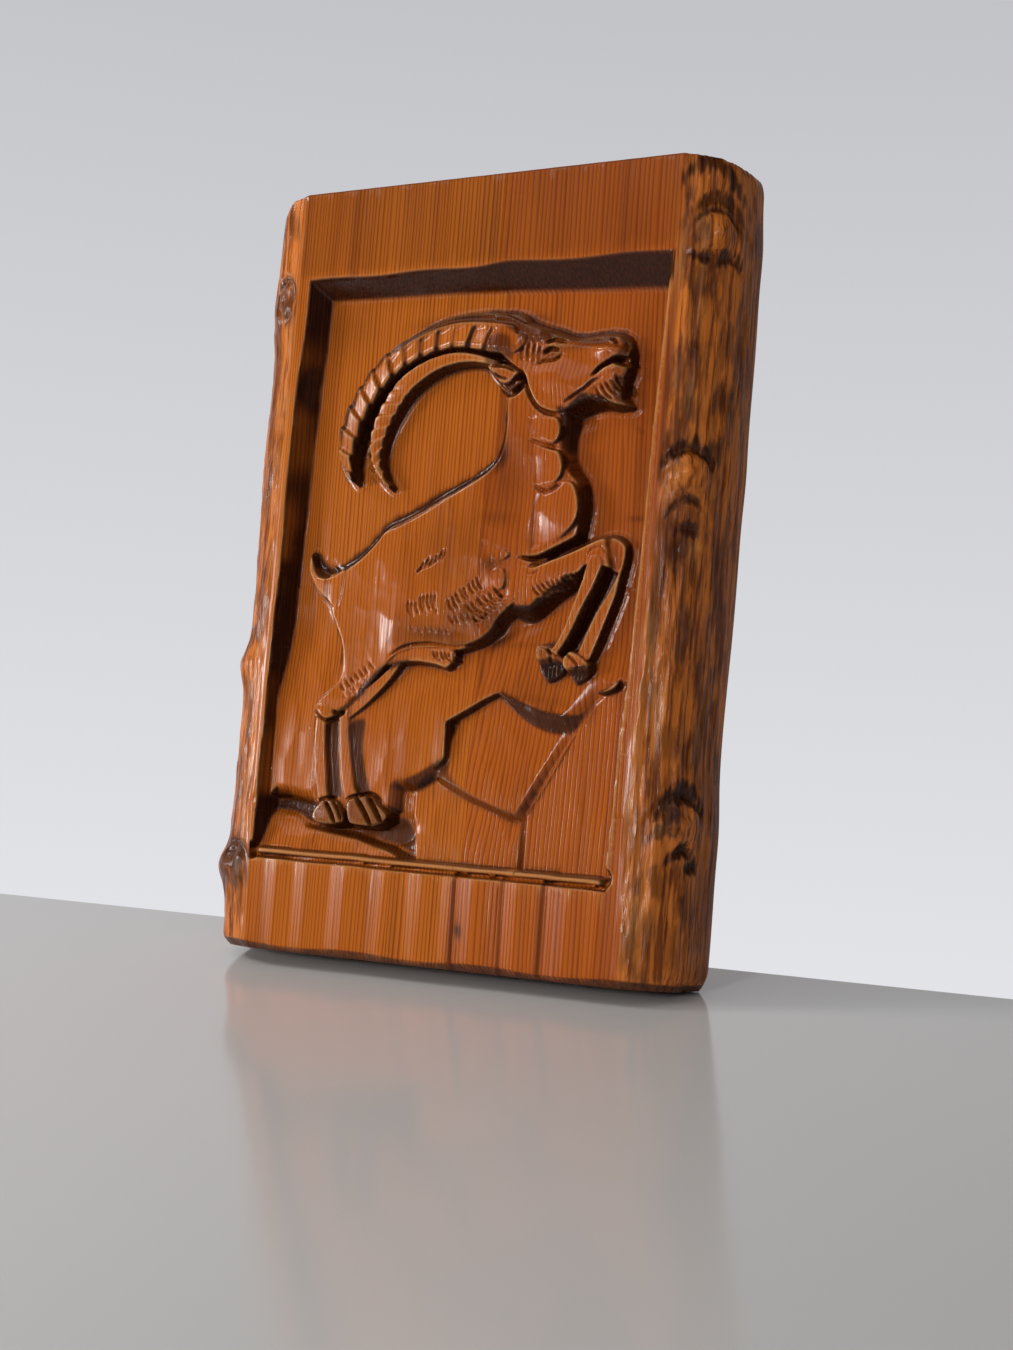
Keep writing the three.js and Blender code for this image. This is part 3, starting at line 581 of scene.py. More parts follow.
far_hind_hoof = [
    (-50.5, 59.5), (-45, 61.7), (-40, 62.4), (-35.5, 59.5), (-30.5, 54.3), (-35, 50.1), (-43, 49.6),
    (-49, 51)]
add_form(far_hind_hoof, 7.3, sunny=1.2, shaded=0.9)
add_form(near_hind_hoof, 7.7, sunny=1.2, shaded=0.9)
for path, width, depth in (
    ([(-60, 59), (-57.4, 55.4), (-54.6, 50.4)], 2.0, 3.2),
    ([(-56.8, 59.6), (-54, 56), (-51.6, 51.4)], 1.5, 2.4),
    ([(-46.6, 61.4), (-42.6, 56.6), (-38.4, 50.4)], 2.4, 3.6),
    ([(-41.2, 62), (-37.6, 57.4), (-33.8, 51.6)], 2.6, 3.6),
    ([(-66, 56.6), (-61.4, 59.4), (-56, 60.4)], 1.5, 1.8),
    ([(-51.6, 59.6), (-46, 61.8), (-39.6, 62.6), (-35, 59.6)], 1.5, 1.8),
    ([(-68.4, 94.4), (-66, 91.4), (-62, 89.8), (-57.6, 91.6)], 1.6, 1.6),
    ([(-60, 93.6), (-57.4, 92.4), (-55, 93.6)], 2.4, 2.6),
):
    cut(path, width, depth, 0.5)
cut_row((-58.5, 104.6), (2.1, 1.35), 7, (2.6, -3.0), 1.2, 1.2, 0.4)
cut_row((-57, 100.4), (2.2, 1.5), 4, (2.2, -2.2), 1.0, 0.8, 0.4)

# The rock under the hooves is scooped back, and falls away to the right in a dark hollow.
carved -= hump(X, V, (-32, 47.6), (9, 3.6), 3.8, 14) + hump(X, V, (-56, 48.6), (14, 1.6), 1.4, -3)
carved -= hump(X, V, (-78, 56.4), (10, 2.4), 2.0, -6) + hump(X, V, (-71, 149), (5, 2.4), 1.8, -20)
carved -= hump(X, V, (37, 206), (6, 4), 1.6, 30) + hump(X, V, (26, 132), (10, 3), 1.4, 32)

# Tufts of hair on the flank, the chest, the belly and the sheath.
cut_row((-29.5, 137), (1.7, -0.1), 3, (1.4, -6.4), 1.2, 1.1, 0.3)
cut_row((-24.2, 139.6), (1.6, 0.2), 5, (1.5, -8.2), 1.2, 1.2, 0.4)
cut_row((-27.6, 147), (1.9, 0.9), 6, (3.4, 5.4), 1.2, 1.3, 0.4)
cut_row((-12.6, 138), (1.7, 1.2), 8, (3.4, -5.4), 1.3, 1.3, 0.4)
cut_row((-5, 136), (2.4, 1.2), 6, (5.4, -4.4), 1.4, 1.4, 0.5)
cut_row((-11.6, 131.4), (2.6, 0.3), 7, (2.4, -3.6), 1.2, 1.1, 0.5)
cut_row((-2, 131), (1.6, 1.2), 8, (5.4, -1.8), 1.2, 1.1, 0.5)
cut_row((-28, 127.4), (3.1, -0.2), 6, (2.2, -2.6), 1.2, 0.7, 0.5)
cut_row((-18, 118.4), (1.8, -0.2), 6, (2.6, -4.2), 1.1, 1.3, 0.3)
cut_row((20, 149.6), (0.4, -2.4), 2, (6.4, 1.2), 1.0, 1.0, 0.4)

carved = np.clip(blurred(carved, 0.16), -1.2, recess_depth)

# The stain and the painted shade. A dark stain was brushed over the carving and wiped off, so it
# stays on steep walls, in cuts and on end grain. Shade is painted into the same map: slopes that
# face down and to the right, away from the light, and the top wall of the recess are darkened, and
# so are hollows under forms. The top rail is a little darker. Fine ridges are paler, partly edge
# wear and partly painted highlight.
slope_v, slope_x = np.gradient(carved, pitch)
steepness = blurred(np.hypot(slope_v, slope_x), 0.25)
# Painted shade: slopes that face down and to the right, away from the light, are darkened.
turned_away = blurred(0.66 * slope_v - 0.75 * slope_x, 0.25)
low_lying = blurred(carved, 2.2) - carved
stain_and_shade = ease((turned_away - 0.3) / 0.75)
stain_and_shade = np.maximum(stain_and_shade, 0.8 * ease((steepness - 0.75) / 0.8))
stain_and_shade = np.maximum(stain_and_shade, 0.8 * ease((low_lying - 0.6) / 1.6) * (V > 41))
stain_and_shade *= 1 - 0.45 * on_walls * ease(swells(X, V, 6, 13, 41)) * (left_wall > 0)
# Fine ridges are paler: partly edge wear, partly painted highlight.
fine_ridge = carved - blurred(carved, 0.9)
pale = ease((fine_ridge - 0.12) / 0.5)


def darken(outline, strength, soft=1.0):
    """A dark pool with that outline; most are painted shade, a few are stain."""
    line = curve_through(outline, True)
    area = window(line, 3)
    inset = inside_distance(line, X[area], V[area])
    stain_and_shade[area] = np.maximum(stain_and_shade[area], strength * ease((inset + soft) / (2 * soft)))


darken([(-4, 227.6), (6, 226.6), (8, 231), (6.4, 237), (-3, 236.6)], 0.7, 1.0)
darken([
    (8, 241), (12, 235), (18, 233.6), (24, 234.6), (31, 233.6), (42, 231.6), (49, 232.4), (52, 235.4),
    (42, 237), (30, 237.4), (20, 240.8), (12, 243.6)], 0.74, 1.2)
darken([
    (13, 243), (4, 247), (-8, 247.8), (-18, 246.8), (-29, 243.8), (-38, 240), (-46, 235), (-44, 233),
    (-36, 237), (-27, 240.4), (-17, 242.6), (-7, 242.8), (3, 241.6), (9, 238)], 0.78, 0.9)
# Painted shade under the jaw and the beard, and on the muzzle's front, which faces right.
darken([
    (28.5, 209), (32, 209), (35, 211.5), (38, 213.8), (42, 213.2), (46, 213), (50, 210.7), (54, 209.2),
    (57, 208.4), (53, 207), (47, 207.8), (41, 206.9), (36.5, 205), (34.6, 200), (35, 192), (32.4, 192),
    (31, 200), (29, 206)], 0.95, 0.8)
darken([
    (51, 234.5), (55, 233.5), (56.8, 230), (57, 222), (55.4, 215), (57, 209.4), (53, 210), (50, 214),
    (50.5, 218.6), (54, 220.6), (54, 225), (51, 226.3), (52.6, 229), (52.5, 232)], 0.8, 0.8)
# Painted shade in the crease between the tail and the rump.
darken([
    (-79.4, 156.4), (-76.6, 156), (-74, 151.8), (-69, 149.6), (-62, 150.8), (-57, 154), (-61, 149.4),
    (-68, 147.2), (-73.6, 148), (-77.4, 151.4)], 0.95, 0.7)
# Painted shade in the deep hollow under the foreleg.
darken([
    (13, 134.6), (20, 135.4), (25, 135.4), (31, 138.4), (38, 141.4), (42, 144.2), (46, 149.4),
    (43.4, 145), (38.6, 140.4), (34.8, 138), (29.7, 134.6), (25.7, 131.2), (21.6, 129.2),
    (15, 130.8)], 1.0, 0.7)
# Painted shade in the undercuts below the rock ledges and in the hollow under the hind hooves.
darken([
    (-92, 53.4), (-86, 58.3), (-79, 59.6), (-73, 59), (-67.6, 57), (-65.6, 52.6), (-69.4, 50.4),
    (-77, 53.6), (-85, 54.4)], 0.9, 0.8)
darken([
    (-53, 48.6), (-43, 49.6), (-33.5, 53.6), (-28.6, 54.6), (-24.4, 51), (-21.4, 42), (-30, 43.9),
    (-42, 46.8)], 0.82, 1.2)
darken([
    (12, 103.4), (16, 102.2), (22, 99.6), (31, 96.9), (41, 95.9), (44.6, 96.4), (46.6, 98), (42, 89.6),
    (39.8, 88.6), (33, 88.8), (26, 91), (19, 94.8), (13, 99.4), (9.6, 101.8)], 0.9, 0.7)
darken([
    (-27.4, 68.2), (-20, 71.8), (-13, 76.3), (-9.4, 77.4), (-9, 72), (-14.6, 69), (-22, 64.8),
    (-28, 65)], 0.78, 0.7)
darken([
    (-10.4, 74.8), (-7, 70.6), (-2, 66.8), (6, 63.3), (14, 60.8), (23.4, 57.8), (22.6, 55.2), (19, 55.4),
    (10, 58.6), (0, 61.9), (-10, 66.4), (-14.4, 69.4)], 0.62, 0.7)
# Painted shade on the lower sides of the fore hooves, which face down.
darken([
    (26.6, 113), (31, 114.6), (36.6, 115), (38.4, 112), (36, 108.8), (31.4, 106.8),
    (28.2, 110)], 1.0, 0.7)
darken([(40, 112), (44, 113.4), (49.6, 113.6), (48, 109.4), (43, 106.4), (40.4, 109)], 0.95, 0.7)


def darken_line(path, width, strength):
    """A dark line along a curve; some are painted shade in creases, some are stain."""
    line = curve_through(path, False)
    area = window(line, width + 1)
    nearest = beside(line, X[area], V[area])[0]
    width = width * (0.85 + 0.4 * swells(X[area], V[area], 3, 3, 43))
    stain_and_shade[area] = np.maximum(stain_and_shade[area], strength * ease(1.35 - nearest / width * 0.9))


# Painted shade in the crease along the back.
darken_line([
    (5, 216), (4.2, 204), (2.6, 195), (-1.5, 189), (-12, 182.6), (-22, 178), (-33, 172.2), (-45, 166.6),
    (-50, 161.5), (-56, 156.2), (-63, 151.4), (-70, 149.6)], 1.9, 0.95)
darken_line([
    (13, 243.6), (4, 247.4), (-8, 247.9), (-18, 247), (-29, 244), (-40, 239), (-49, 232.6), (-57, 224),
    (-62.4, 215), (-66, 206), (-68.4, 198), (-68.6, 191), (-66, 186)], 1.7, 0.85)
darken_line([(14, 242.4), (20, 240.4), (29, 237.6), (36, 237), (44, 237.4), (51, 236.8)], 1.5, 0.85)
# Painted shade on the top wall of the recess, which faces down.
top_wall_only = ease(top_wall * 5) * ease((1.04 - top_wall) * 9)
stain_and_shade = np.maximum(stain_and_shade, 0.97 * top_wall_only * (left_wall < top_wall))
# Painted shade on the right halves of the hind cannons, which face away from the light.
darken([
    (-61.6, 91), (-57.4, 91), (-57, 80), (-56, 70), (-54.4, 61), (-59, 61), (-60.8, 70),
    (-61.9, 80)], 0.85, 0.7)
darken([
    (-52.5, 89), (-46.8, 91), (-46.2, 80), (-43.8, 70), (-41, 62), (-46, 62), (-49, 70),
    (-51.4, 80)], 0.88, 0.7)
darken(near_hind_hoof, 0.45)
darken(far_hind_hoof, 0.5)
# Painted shade under the far thigh and in the crease along the thigh's left edge.
darken_line([(-58, 92), (-50, 99.6), (-42, 107.6), (-37, 111), (-29, 113.2)], 1.7, 0.9)
darken_line([(-69.8, 146), (-68, 137), (-65.6, 129), (-62.6, 121), (-61, 112)], 0.8, 0.75)
# Along two rock edges the painted shade is lifted into a lit strip, with a thin line of painted shade
# beside it.
for path in ([(24.3, 37), (24.3, 47), (24, 57)], [(24.6, 58.5), (33.6, 74), (41, 88)]):
    strip = curve_through(path, False)
    for x0, v0 in strip[::2]:
        stain_and_shade *= 1 - 0.75 * hump(X, V, (x0, v0), (2.4, 2.4), 0.6)
    darken_line([(x0 + 1.6, v0) for x0, v0 in path], 0.5, 0.8)
stain_and_shade = np.maximum(stain_and_shade, (0.3 + 0.06 * swells(X, V, 12, 30, 44)) * ease((V - 264) / 4))

# Softer dark patches, each with its place, reach, turn and strength; some are painted shade, such as the
# one under the ear.
patches = [
    ((1.5, 231.5), (4.6, 3.6), 0, 0.85), ((5, 191), (4.5, 7), -20, 0.88), ((-4, 131), (10, 8), 0, 0.55),
    ((7, 131), (9, 6), 25, 0.62), ((5, 150.6), (4.6, 3.6), 0, 0.62), ((-16, 124), (17, 4), 0, 0.6),
    ((40, 234.6), (15, 1.8), -2, 0.75), ((36, 231.6), (10, 1.6), 8, 0.45), ((53, 214), (3.6, 5), -30, 0.6),
    ((-12, 245.4), (22, 2.2), 0, 0.95), ((-34, 242), (7, 1.8), 24, 0.7), ((12, 241.8), (9, 2.2), -22, 0.85),
    ((4, 14.6), (1.7, 3.0), 10, 0.95), ((24, 230), (5.4, 3), 14, 0.62), ((30, 118), (3.4, 2.4), 0, 0.4),
    ((6, 168), (10, 4), 0, 0.35), ((48, 98), (3, 6), -32, 0.4), ((6.8, 216.6), (4.6, 2), 0, 0.9),
    ((27, 101), (14, 2), -8, 0.35), ((10, 178), (10, 9), 0, 0.22), ((24, 105), (12, 8), 0, 0.2),
    ((2.2, 110), (1.2, 7), 0, 0.4), ((60, 200.4), (3, 0.8), -30, 0.5), ((61, 168), (4, 1.4), 0, 0.6),
    ((-9, 121), (30, 1.2), 0, 0.5), ((-72, 246), (18, 12), 0, 0.26), ((58, 225), (6, 26), 0, 0.24),
    ((-20, 128), (22, 5), 0, 0.2), ((14, 186), (5, 12), 0, 0.25), ((62, 190), (5, 30), 0, 0.2),
    ((9, 186), (9, 18), 0, 0.34), ((-10, 158), (16, 16), 20, 0.26), ((8, 122), (7, 2.4), 30, 0.8),
    ((2, 208), (1.6, 14), 0, 0.45),
]
for at, reach, turn, strength in patches:
    stain_and_shade = np.maximum(stain_and_shade, hump(X, V, at, reach, strength, turn))
stain_and_shade = np.clip(stain_and_shade, 0, 1)


def on_sheet(field, x, v):
    """Reads a field of the sheet at any place."""
    j = np.clip((x - across[0]) / pitch, 0, len(across) - 1.001)
    i = np.clip((v - upward[0]) / pitch, 0, len(upward) - 1.001)
    j0, i0 = j.astype(int), i.astype(int)
    fj, fi = j - j0, i - i0
    low = field[i0, j0] * (1 - fj) + field[i0, j0 + 1] * fj
    high = field[i0 + 1, j0] * (1 - fj) + field[i0 + 1, j0 + 1] * fj
    return low * (1 - fi) + high * fi


# The two boards. Each is a pine plank sawn with its bark side left on: the bark was peeled and
# the rounded edge keeps the log's ripples and knots. They are glued along a straight joint,
# carved as one, and sawn square at top and bottom.
joint_gap = 0.12
wane_reach, wane_round = 20, 42
wane_profile = np.array([
    (0, 0), (0.12, 0.012), (0.26, 0.04), (0.56, 0.13), (0.79, 0.28), (0.94, 0.5), (1, 0.78), (1, 0.96)])


def bump(v, centre, reach):
    return np.exp(-(((v - centre) / reach) ** 2))


def left_reach(v):
    end, foot = np.clip((v - 291) / 9, 0, 1), np.clip((5 - v) / 5, 0, 1)
    knots = 6 * bump(v, 31, 8) + 4.6 * bump(v, 111, 7) + 1.2 * bump(v, 256, 10)
    width = 113.6 + 1.2 * ease((v - 236) / 9) + 0.8 * ease((108 - v) / 12)
    return width + knots + 0.5 * np.sin(v / 13) - 8 * (1 - np.sqrt(1 - end**2)) - 4 * foot**2


def right_reach(v):
    end, foot = np.clip((v - 292) / 8, 0, 1), np.clip((8 - v) / 8, 0, 1)
    knots = 0.8 * bump(v, 272, 12) + 0.6 * bump(v, 186, 14) + 0.8 * bump(v, 58, 14)
    width = 88.8 + 2.2 * ease((v - 90) / 120)
    return width + knots + 0.4 * np.sin(v / 17) - 3.5 * (1 - np.sqrt(1 - end**2)) - 3 * foot**2


# Knots and hollows of a rounded edge: distance round from the front ridge, height, reach both
# ways, and how far each stands out.
left_knots = [
    (9, 31, 7, 8, 1.6), (13, 26, 3, 3, -1.6), (9, 37, 3, 2, -1.2), (10, 111, 6, 8, 0.8),
    (9, 257, 5, 8, 1.2), (6, 250, 2, 3, -0.9), (11, 265, 3, 3, -0.8),
]
right_knots = [
    (12.5, 183.6, 8, 6.4, 3.0), (12.5, 193, 8, 2.0, -1.5), (14, 174.5, 6, 1.3, -0.9),
    (14, 164, 5, 2, -1.2), (17, 272, 8, 6.4, 2.8), (11, 262.5, 4, 1.4, -1.2), (23, 263.5, 6, 1.6, -1.2),
    (17, 284, 10, 2, -1.0), (22, 59.6, 8, 6.6, 3.0), (21, 70, 9, 2.0, -1.5), (23, 50, 6, 2.0, -2.2),
    (28, 43.5, 3.4, 2.2, -2.2), (16, 62, 4, 3, -0.8), (12, 156, 4, 5, -0.8), (26, 212, 6, 5, -0.6),
    (24, 198, 3, 2, 0.8), (16, 120, 4, 12, 0.8), (12, 100, 3, 9, 0.9), (3, 100, 3, 34, 0.5),
    (4, 20, 4, 20, 0.4), (9, 250, 2, 8, -0.5), (30, 95, 4, 12, -0.6)]

# Blotches of dark bark left on the right edge: distance round, height, reach both ways, strength.
# The two long strips near the back edge are painted shade on the far side, which faces away from the light.
right_blotches = [
    (14, 297, 14, 4, 0.85), (17, 284, 13, 3.4, 0.8), (9.5, 272, 2.6, 6, 0.6), (11, 262, 5, 2.4, 0.95),
    (24, 264, 8, 3.4, 0.9), (11, 252, 1.8, 6, 0.55), (10.5, 228, 3, 5, 0.5), (26, 212, 7, 6, 0.6),
    (11.5, 205, 2, 6, 0.4), (12.5, 193.4, 10, 3.8, 0.95), (24, 193, 4, 6, 0.7), (3.5, 186, 2.6, 8, 0.5),
    (14, 174, 7, 2.2, 0.8), (14, 164, 6, 2.8, 0.85), (12, 156, 4, 5, 0.6), (16, 148, 5, 8, 0.5),
    (36, 240, 4, 34, 0.4), (25, 232, 4, 8, 0.45), (16, 128, 4, 10, 0.5), (24, 118, 3, 12, 0.3),
    (33, 103, 4, 10, 0.7), (26, 85, 5, 8, 0.6), (15, 88, 4, 6, 0.4), (22, 70, 11, 4.4, 0.95),
    (15.5, 62, 4, 4, 0.85), (15.5, 57, 6, 3, 0.7), (23, 50, 7, 3.2, 0.95), (28.5, 43.8, 4.4, 3, 0.95),
    (26, 30, 3.4, 10, 0.7), (13, 38, 4, 5, 0.5), (7, 36, 2, 3, 0.6), (38, 60, 4, 60, 0.4),
    (11, 20, 2, 10, 0.4), (21, 16, 3, 8, 0.4), (29, 20, 3, 10, 0.3),
]

# Painted highlights, bright strips where the rounded edges catch the light: distance round,
# height, reach both ways, strength.
right_highlights = [
    (3, 120, 2.4, 22, 0.8), (1.5, 75, 2.2, 34, 0.9), (9, 99, 2.4, 12, 0.8), (7, 25, 6, 20, 0.6),
    (1.6, 262, 2.2, 15, 0.8), (10.5, 270, 2, 10, 0.7), (11, 212, 2, 9, 0.6), (4, 220, 1.8, 6, 0.6),
    (17, 158, 2.2, 5, 0.8), (8, 183, 4, 7, 0.5), (12, 250, 1.6, 12, 0.5), (13, 57, 3, 3, 0.8),
    (30, 43, 2, 2, 0.8)]
left_highlights = [(4, 60, 3, 40, 0.5), (3, 210, 3, 50, 0.5)]
left_blotches = [
    (9, 32, 8, 9, 0.75), (8, 256, 6, 8, 0.7), (10, 100, 3, 8, 0.4), (9, 122, 4, 4, 0.5),
    (14, 70, 3, 20, 0.3), (12, 180, 3, 30, 0.3), (13, 290, 8, 6, 0.4)]


def board_sheet(side, reach_of, ridge_of, knots, blotches, highlight_strips, seed):
    """The skin of one board from the glue joint round to its back edge, as a grid."""
    spacing = 0.42
    rows = np.linspace(0, panel_height, int(panel_height / spacing) + 1)
    rows = np.sort(np.concatenate([rows, [0.25, 0.9, panel_height - 0.9, panel_height - 0.25]]))
    front_count = int(abs(ridge_of(150.0)) / spacing)
    wane_count = int(wane_round / (spacing * 1.35))
    share = np.linspace(0, 1, front_count + 1)[:-1]
    v = np.repeat(rows[:, None], front_count + wane_count, axis=1)
    ridge, reach = ridge_of(v), reach_of(v)
    x = np.zeros_like(v)
    x[:, :front_count] = side * joint_gap / 2 + (ridge[:, :front_count] - side * joint_gap / 2) * share
    lift = on_sheet(carved, x, v) - recess_depth
    lift[:, front_count:] = 0
    # Round the wane: run and drop follow the profile, by distance round it.
    run = abs(side * reach - ridge)
    steps = np.diff(wane_profile, axis=0) * (wane_reach, thickness)
    bends = np.cumsum([0, *np.hypot(steps[:, 0], steps[:, 1])])
    fine = np.linspace(0, bends[-1], 200)
    smooth = [np.interp(fine, bends, wane_profile[:, k]) for k in (0, 1)]
    kernel = np.hanning(19) / np.hanning(19).sum()
    smooth = [np.pad(line, 9, mode="reflect", reflect_type="odd") for line in smooth]
    smooth = [np.convolve(line, kernel, "valid") for line in smooth]
    around = np.linspace(0, bends[-1], wane_count)
    run_share, drop_share = (np.interp(around, fine, line) for line in smooth)
    wane_start, wane_end = ridge[:, front_count:], (ridge + side * run)[:, front_count:]
    x[:, front_count:] = wane_end * run_share + wane_start * (1 - run_share)
    drop = np.zeros_like(v)
    drop[:, front_count:] = drop_share * thickness
    # The log's own surface: long fibres, ripples and knots, fading out at the back edge.
    about = np.zeros_like(v)
    about[:, front_count:] = around
    swell = 0.3 * swells(about, v, 1.0, 7, seed) + 0.45 * swells(about, v, 2.3, 17, seed + 1)
    swell += 0.6 * swells(about, v, 6, 34, seed + 2) - 0.5
    dark = np.zeros_like(v)
    for at, level, reach_a, reach_v, amount in knots:
        # Wide hollows bend down at their ends, round the knot below them.
        bend = 0.55 * reach_a * ((about - at) / reach_a) ** 2 if amount < 0 and reach_a > 5 else 0
        far = np.hypot((about - at) / reach_a, (v - level + bend) / reach_v)
        spot = np.exp(-(far**2))
        swell += amount * spot
        if amount > 1:
            collar = np.exp(-(((far - 1.25) / 0.22) ** 2)) * ease(0.5 + 0.8 * (v - level) / reach_v)
            swell += 0.3 * np.cos(7.5 * far) * spot - 0.7 * collar
            dark = np.maximum(dark, 0.8 * collar)
        if amount < 0:
            dark = np.maximum(dark, min(1, 0.45 - 0.3 * amount) * spot)
    ragged = 0.75 + 0.5 * swells(about, v, 0.9, 6, seed + 5) + 0.3 * swells(about, v, 3, 9, seed + 6)
    for at, level, reach_a, reach_v, strength in blotches:
        bend = 0.55 * reach_a * ((about - at) / reach_a) ** 2 if reach_a > 5 else 0
        far = ((about - at) / reach_a) ** 2 + ((v - level + bend) / reach_v) ** 2
        dark = np.maximum(dark, strength * ease(1.75 * ragged - 0.85 * far))
    # Painted highlights, broken up along the fibres.
    bright = np.zeros_like(v)
    strands = ease(0.6 + 0.9 * swells(about, v, 0.7, 8, seed + 7))
    for at, level, reach_a, reach_v, strength in highlight_strips:
        far = ((about - at) / reach_a) ** 2 + ((v - level) / reach_v) ** 2
        bright = np.maximum(bright, strength * np.exp(-far) * strands)
    fade = ease(about / 3) * ease((bends[-1] - about) / 9)
    swell *= np.where(about > 0, fade, 0)
    tilt = np.gradient(drop_share, around) * thickness, np.gradient(run_share, around) * wane_reach
    size = np.hypot(*tilt)
    out_x, out_y = np.zeros_like(v), np.ones_like(v)
    out_x[:, front_count:], out_y[:, front_count:] = side * tilt[0] / size, tilt[1] / size
    # Bevels: a thin one along the top, a hand-cut one along the bottom.
    bevel = np.clip(2.6 + 0.5 * np.sin(x / 9) - v, 0, 3) * 0.9 + np.clip(v - panel_height + 0.9, 0, 1)
    y = -thickness - lift + drop - swell * out_y + bevel * ease(1 - drop / wane_reach)
    x = x + swell * out_x
    inside_sheet = about <= 0
    bark = ease((about - 0.6) / 3)
    # Painted shade on the bottom bevel, which faces down.
    bottom_bevel_shade = ease((2.9 + 0.6 * np.sin(x / 9) - v) / 0.9) * 0.85
    marks = {
        "stain_and_shade": np.maximum(np.where(inside_sheet, on_sheet(stain_and_shade, x, v), dark), bottom_bevel_shade),
        "pale": np.where(inside_sheet, on_sheet(pale, x, v), bright),
        "bark": bark,
    }
    # Points that stay when the mesh is thinned: a wide net, and a closer one where the stain
    # changes.
    row, column = np.indices(v.shape)
    change = np.hypot(*np.gradient(marks["stain_and_shade"]))
    net = (row % 4 == 0) & (column % 4 == 0) | (row % 2 == 0) & (column % 2 == 0) & (change > 0.03)
    net &= inside_sheet
    low, high = (np.array(corner) / MM for corner in cad_box)
    place = np.stack([x + joint_x, y, v - panel_height / 2], axis=-1)
    place = np.clip(place, low + 0.02, high - 0.02)
    return rows, front_count + wane_count, place * MM, marks, net


def left_ridge(v):
    return np.interp(v, [0, 5, 50, 100, 150, 250, 300], [-90, -90.5, -93, -92.5, -91.3, -91, -90.5])


def right_ridge(v):
    return np.interp(v, [0, 10, 50, 100, 150, 200, 250, 300], [68, 68.2, 68.2, 69, 70.8, 72, 73, 73.4])


def carve_board(name, *sheet):
    """Makes the mesh of one board from what board_sheet says of it."""
    rows, columns, place, marks, net = board_sheet(*sheet)
    bpy.ops.object.select_all(action="DESELECT")
    bpy.ops.mesh.primitive_grid_add(x_subdivisions=columns - 1, y_subdivisions=len(rows) - 1, size=1)
    board = bpy.context.object
    board.name = name
    board.data.vertices.foreach_set("co", place.reshape(-1))
    for title, values in marks.items():
        layer = board.data.attributes.new(title, "FLOAT", "POINT")
        layer.data.foreach_set("value", values.reshape(-1).astype(np.float32))
    thinned = board.vertex_groups.new(name="thinned")
    thinned.add(np.flatnonzero(~net.reshape(-1)).tolist(), 1.0, "REPLACE")
    board.data.update()
    # The sheet's rim is drawn back to the plane of the wall and closed with one flat face.
    bpy.ops.object.mode_set(mode="EDIT")
    bpy.ops.mesh.select_all(action="DESELECT")
    bpy.ops.mesh.select_mode(type="EDGE")
    bpy.ops.mesh.select_non_manifold()
    bpy.ops.mesh.extrude_region()
    bpy.ops.transform.resize(value=(1, 0, 1), center_override=(0, 0, 0))
    bpy.ops.mesh.edge_face_add()
    bpy.ops.mesh.select_all(action="SELECT")
    bpy.ops.mesh.normals_make_consistent(inside=False)
    bpy.ops.mesh.quads_convert_to_tris()
    bpy.ops.object.mode_set(mode="OBJECT")
    # A dense sheet is thinned, except at the points of the net.
    most = 190_000
    if len(board.data.polygons) > most:
        thin = board.modifiers.new("thin", "DECIMATE")
        thin.ratio = most / len(board.data.polygons)
        thin.vertex_group = thinned.name
        bpy.ops.object.modifier_apply(modifier=thin.name)
    bpy.ops.object.shade_smooth_by_angle(angle=math.radians(40))
    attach(board, "root")
    return board


left_panel = carve_board(
    "left_panel", -1, left_reach, left_ridge, left_knots, left_blotches, left_highlights, 51)
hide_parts("left_board")
right_panel = carve_board(
    "right_panel", 1, right_reach, right_ridge, right_knots, right_blotches, right_highlights, 61)
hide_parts("right_board")

# The finish. Orange pine with close upright grain under a satin varnish, darker where the stain stayed
# and where shade is painted, paler on painted highlights; the peeled edges are browner and streaked;
# the back is planed and left bare.


class Flow:
    """A shader value that can be written into sums."""

    def __init__(self, tree, socket):
        self.tree, self.socket = tree, socket

    def maths(self, operation, *others):
        node = self.tree.nodes.new("ShaderNodeMath")
        node.operation = operation
        for slot, other in zip(node.inputs, (self, *others)):
            if isinstance(other, Flow):
                self.tree.links.new(other.socket, slot)
            else:
                slot.default_value = other
        return Flow(self.tree, node.outputs[0])

    def __add__(self, other):
        return self.maths("ADD", other)

    def __sub__(self, other):
        return self.maths("SUBTRACT", other)

    def __mul__(self, other):
        return self.maths("MULTIPLY", other)

    def __truediv__(self, other):
        return self.maths("DIVIDE", other)

    def __pow__(self, other):
        return self.maths("POWER", other)

    def __rsub__(self, other):
        return self.maths("MULTIPLY", -1) + other

    __radd__ = __add__
    __rmul__ = __mul__

    def clamped(self):
        out = self.maths("ADD", 0)
        out.socket.node.use_clamp = True
        return out

    def eased(self, low, high):
        """0 below low, 1 above high, smooth between."""
        return self.node("ShaderNodeMapRange", {"interpolation_type": "SMOOTHSTEP"},
                         {"Value": self, "From Min": low, "From Max": high}, "Result")

    def node(self, kind, settings, inputs, output=0):
        made = self.tree.nodes.new(kind)
        for name, value in settings.items():
            setattr(made, name, value)
        for name, value in inputs.items():
            if isinstance(value, Flow):
                self.tree.links.new(value.socket, made.inputs[name])
            else:
                made.inputs[name].default_value = value
        return Flow(self.tree, made.outputs[output])


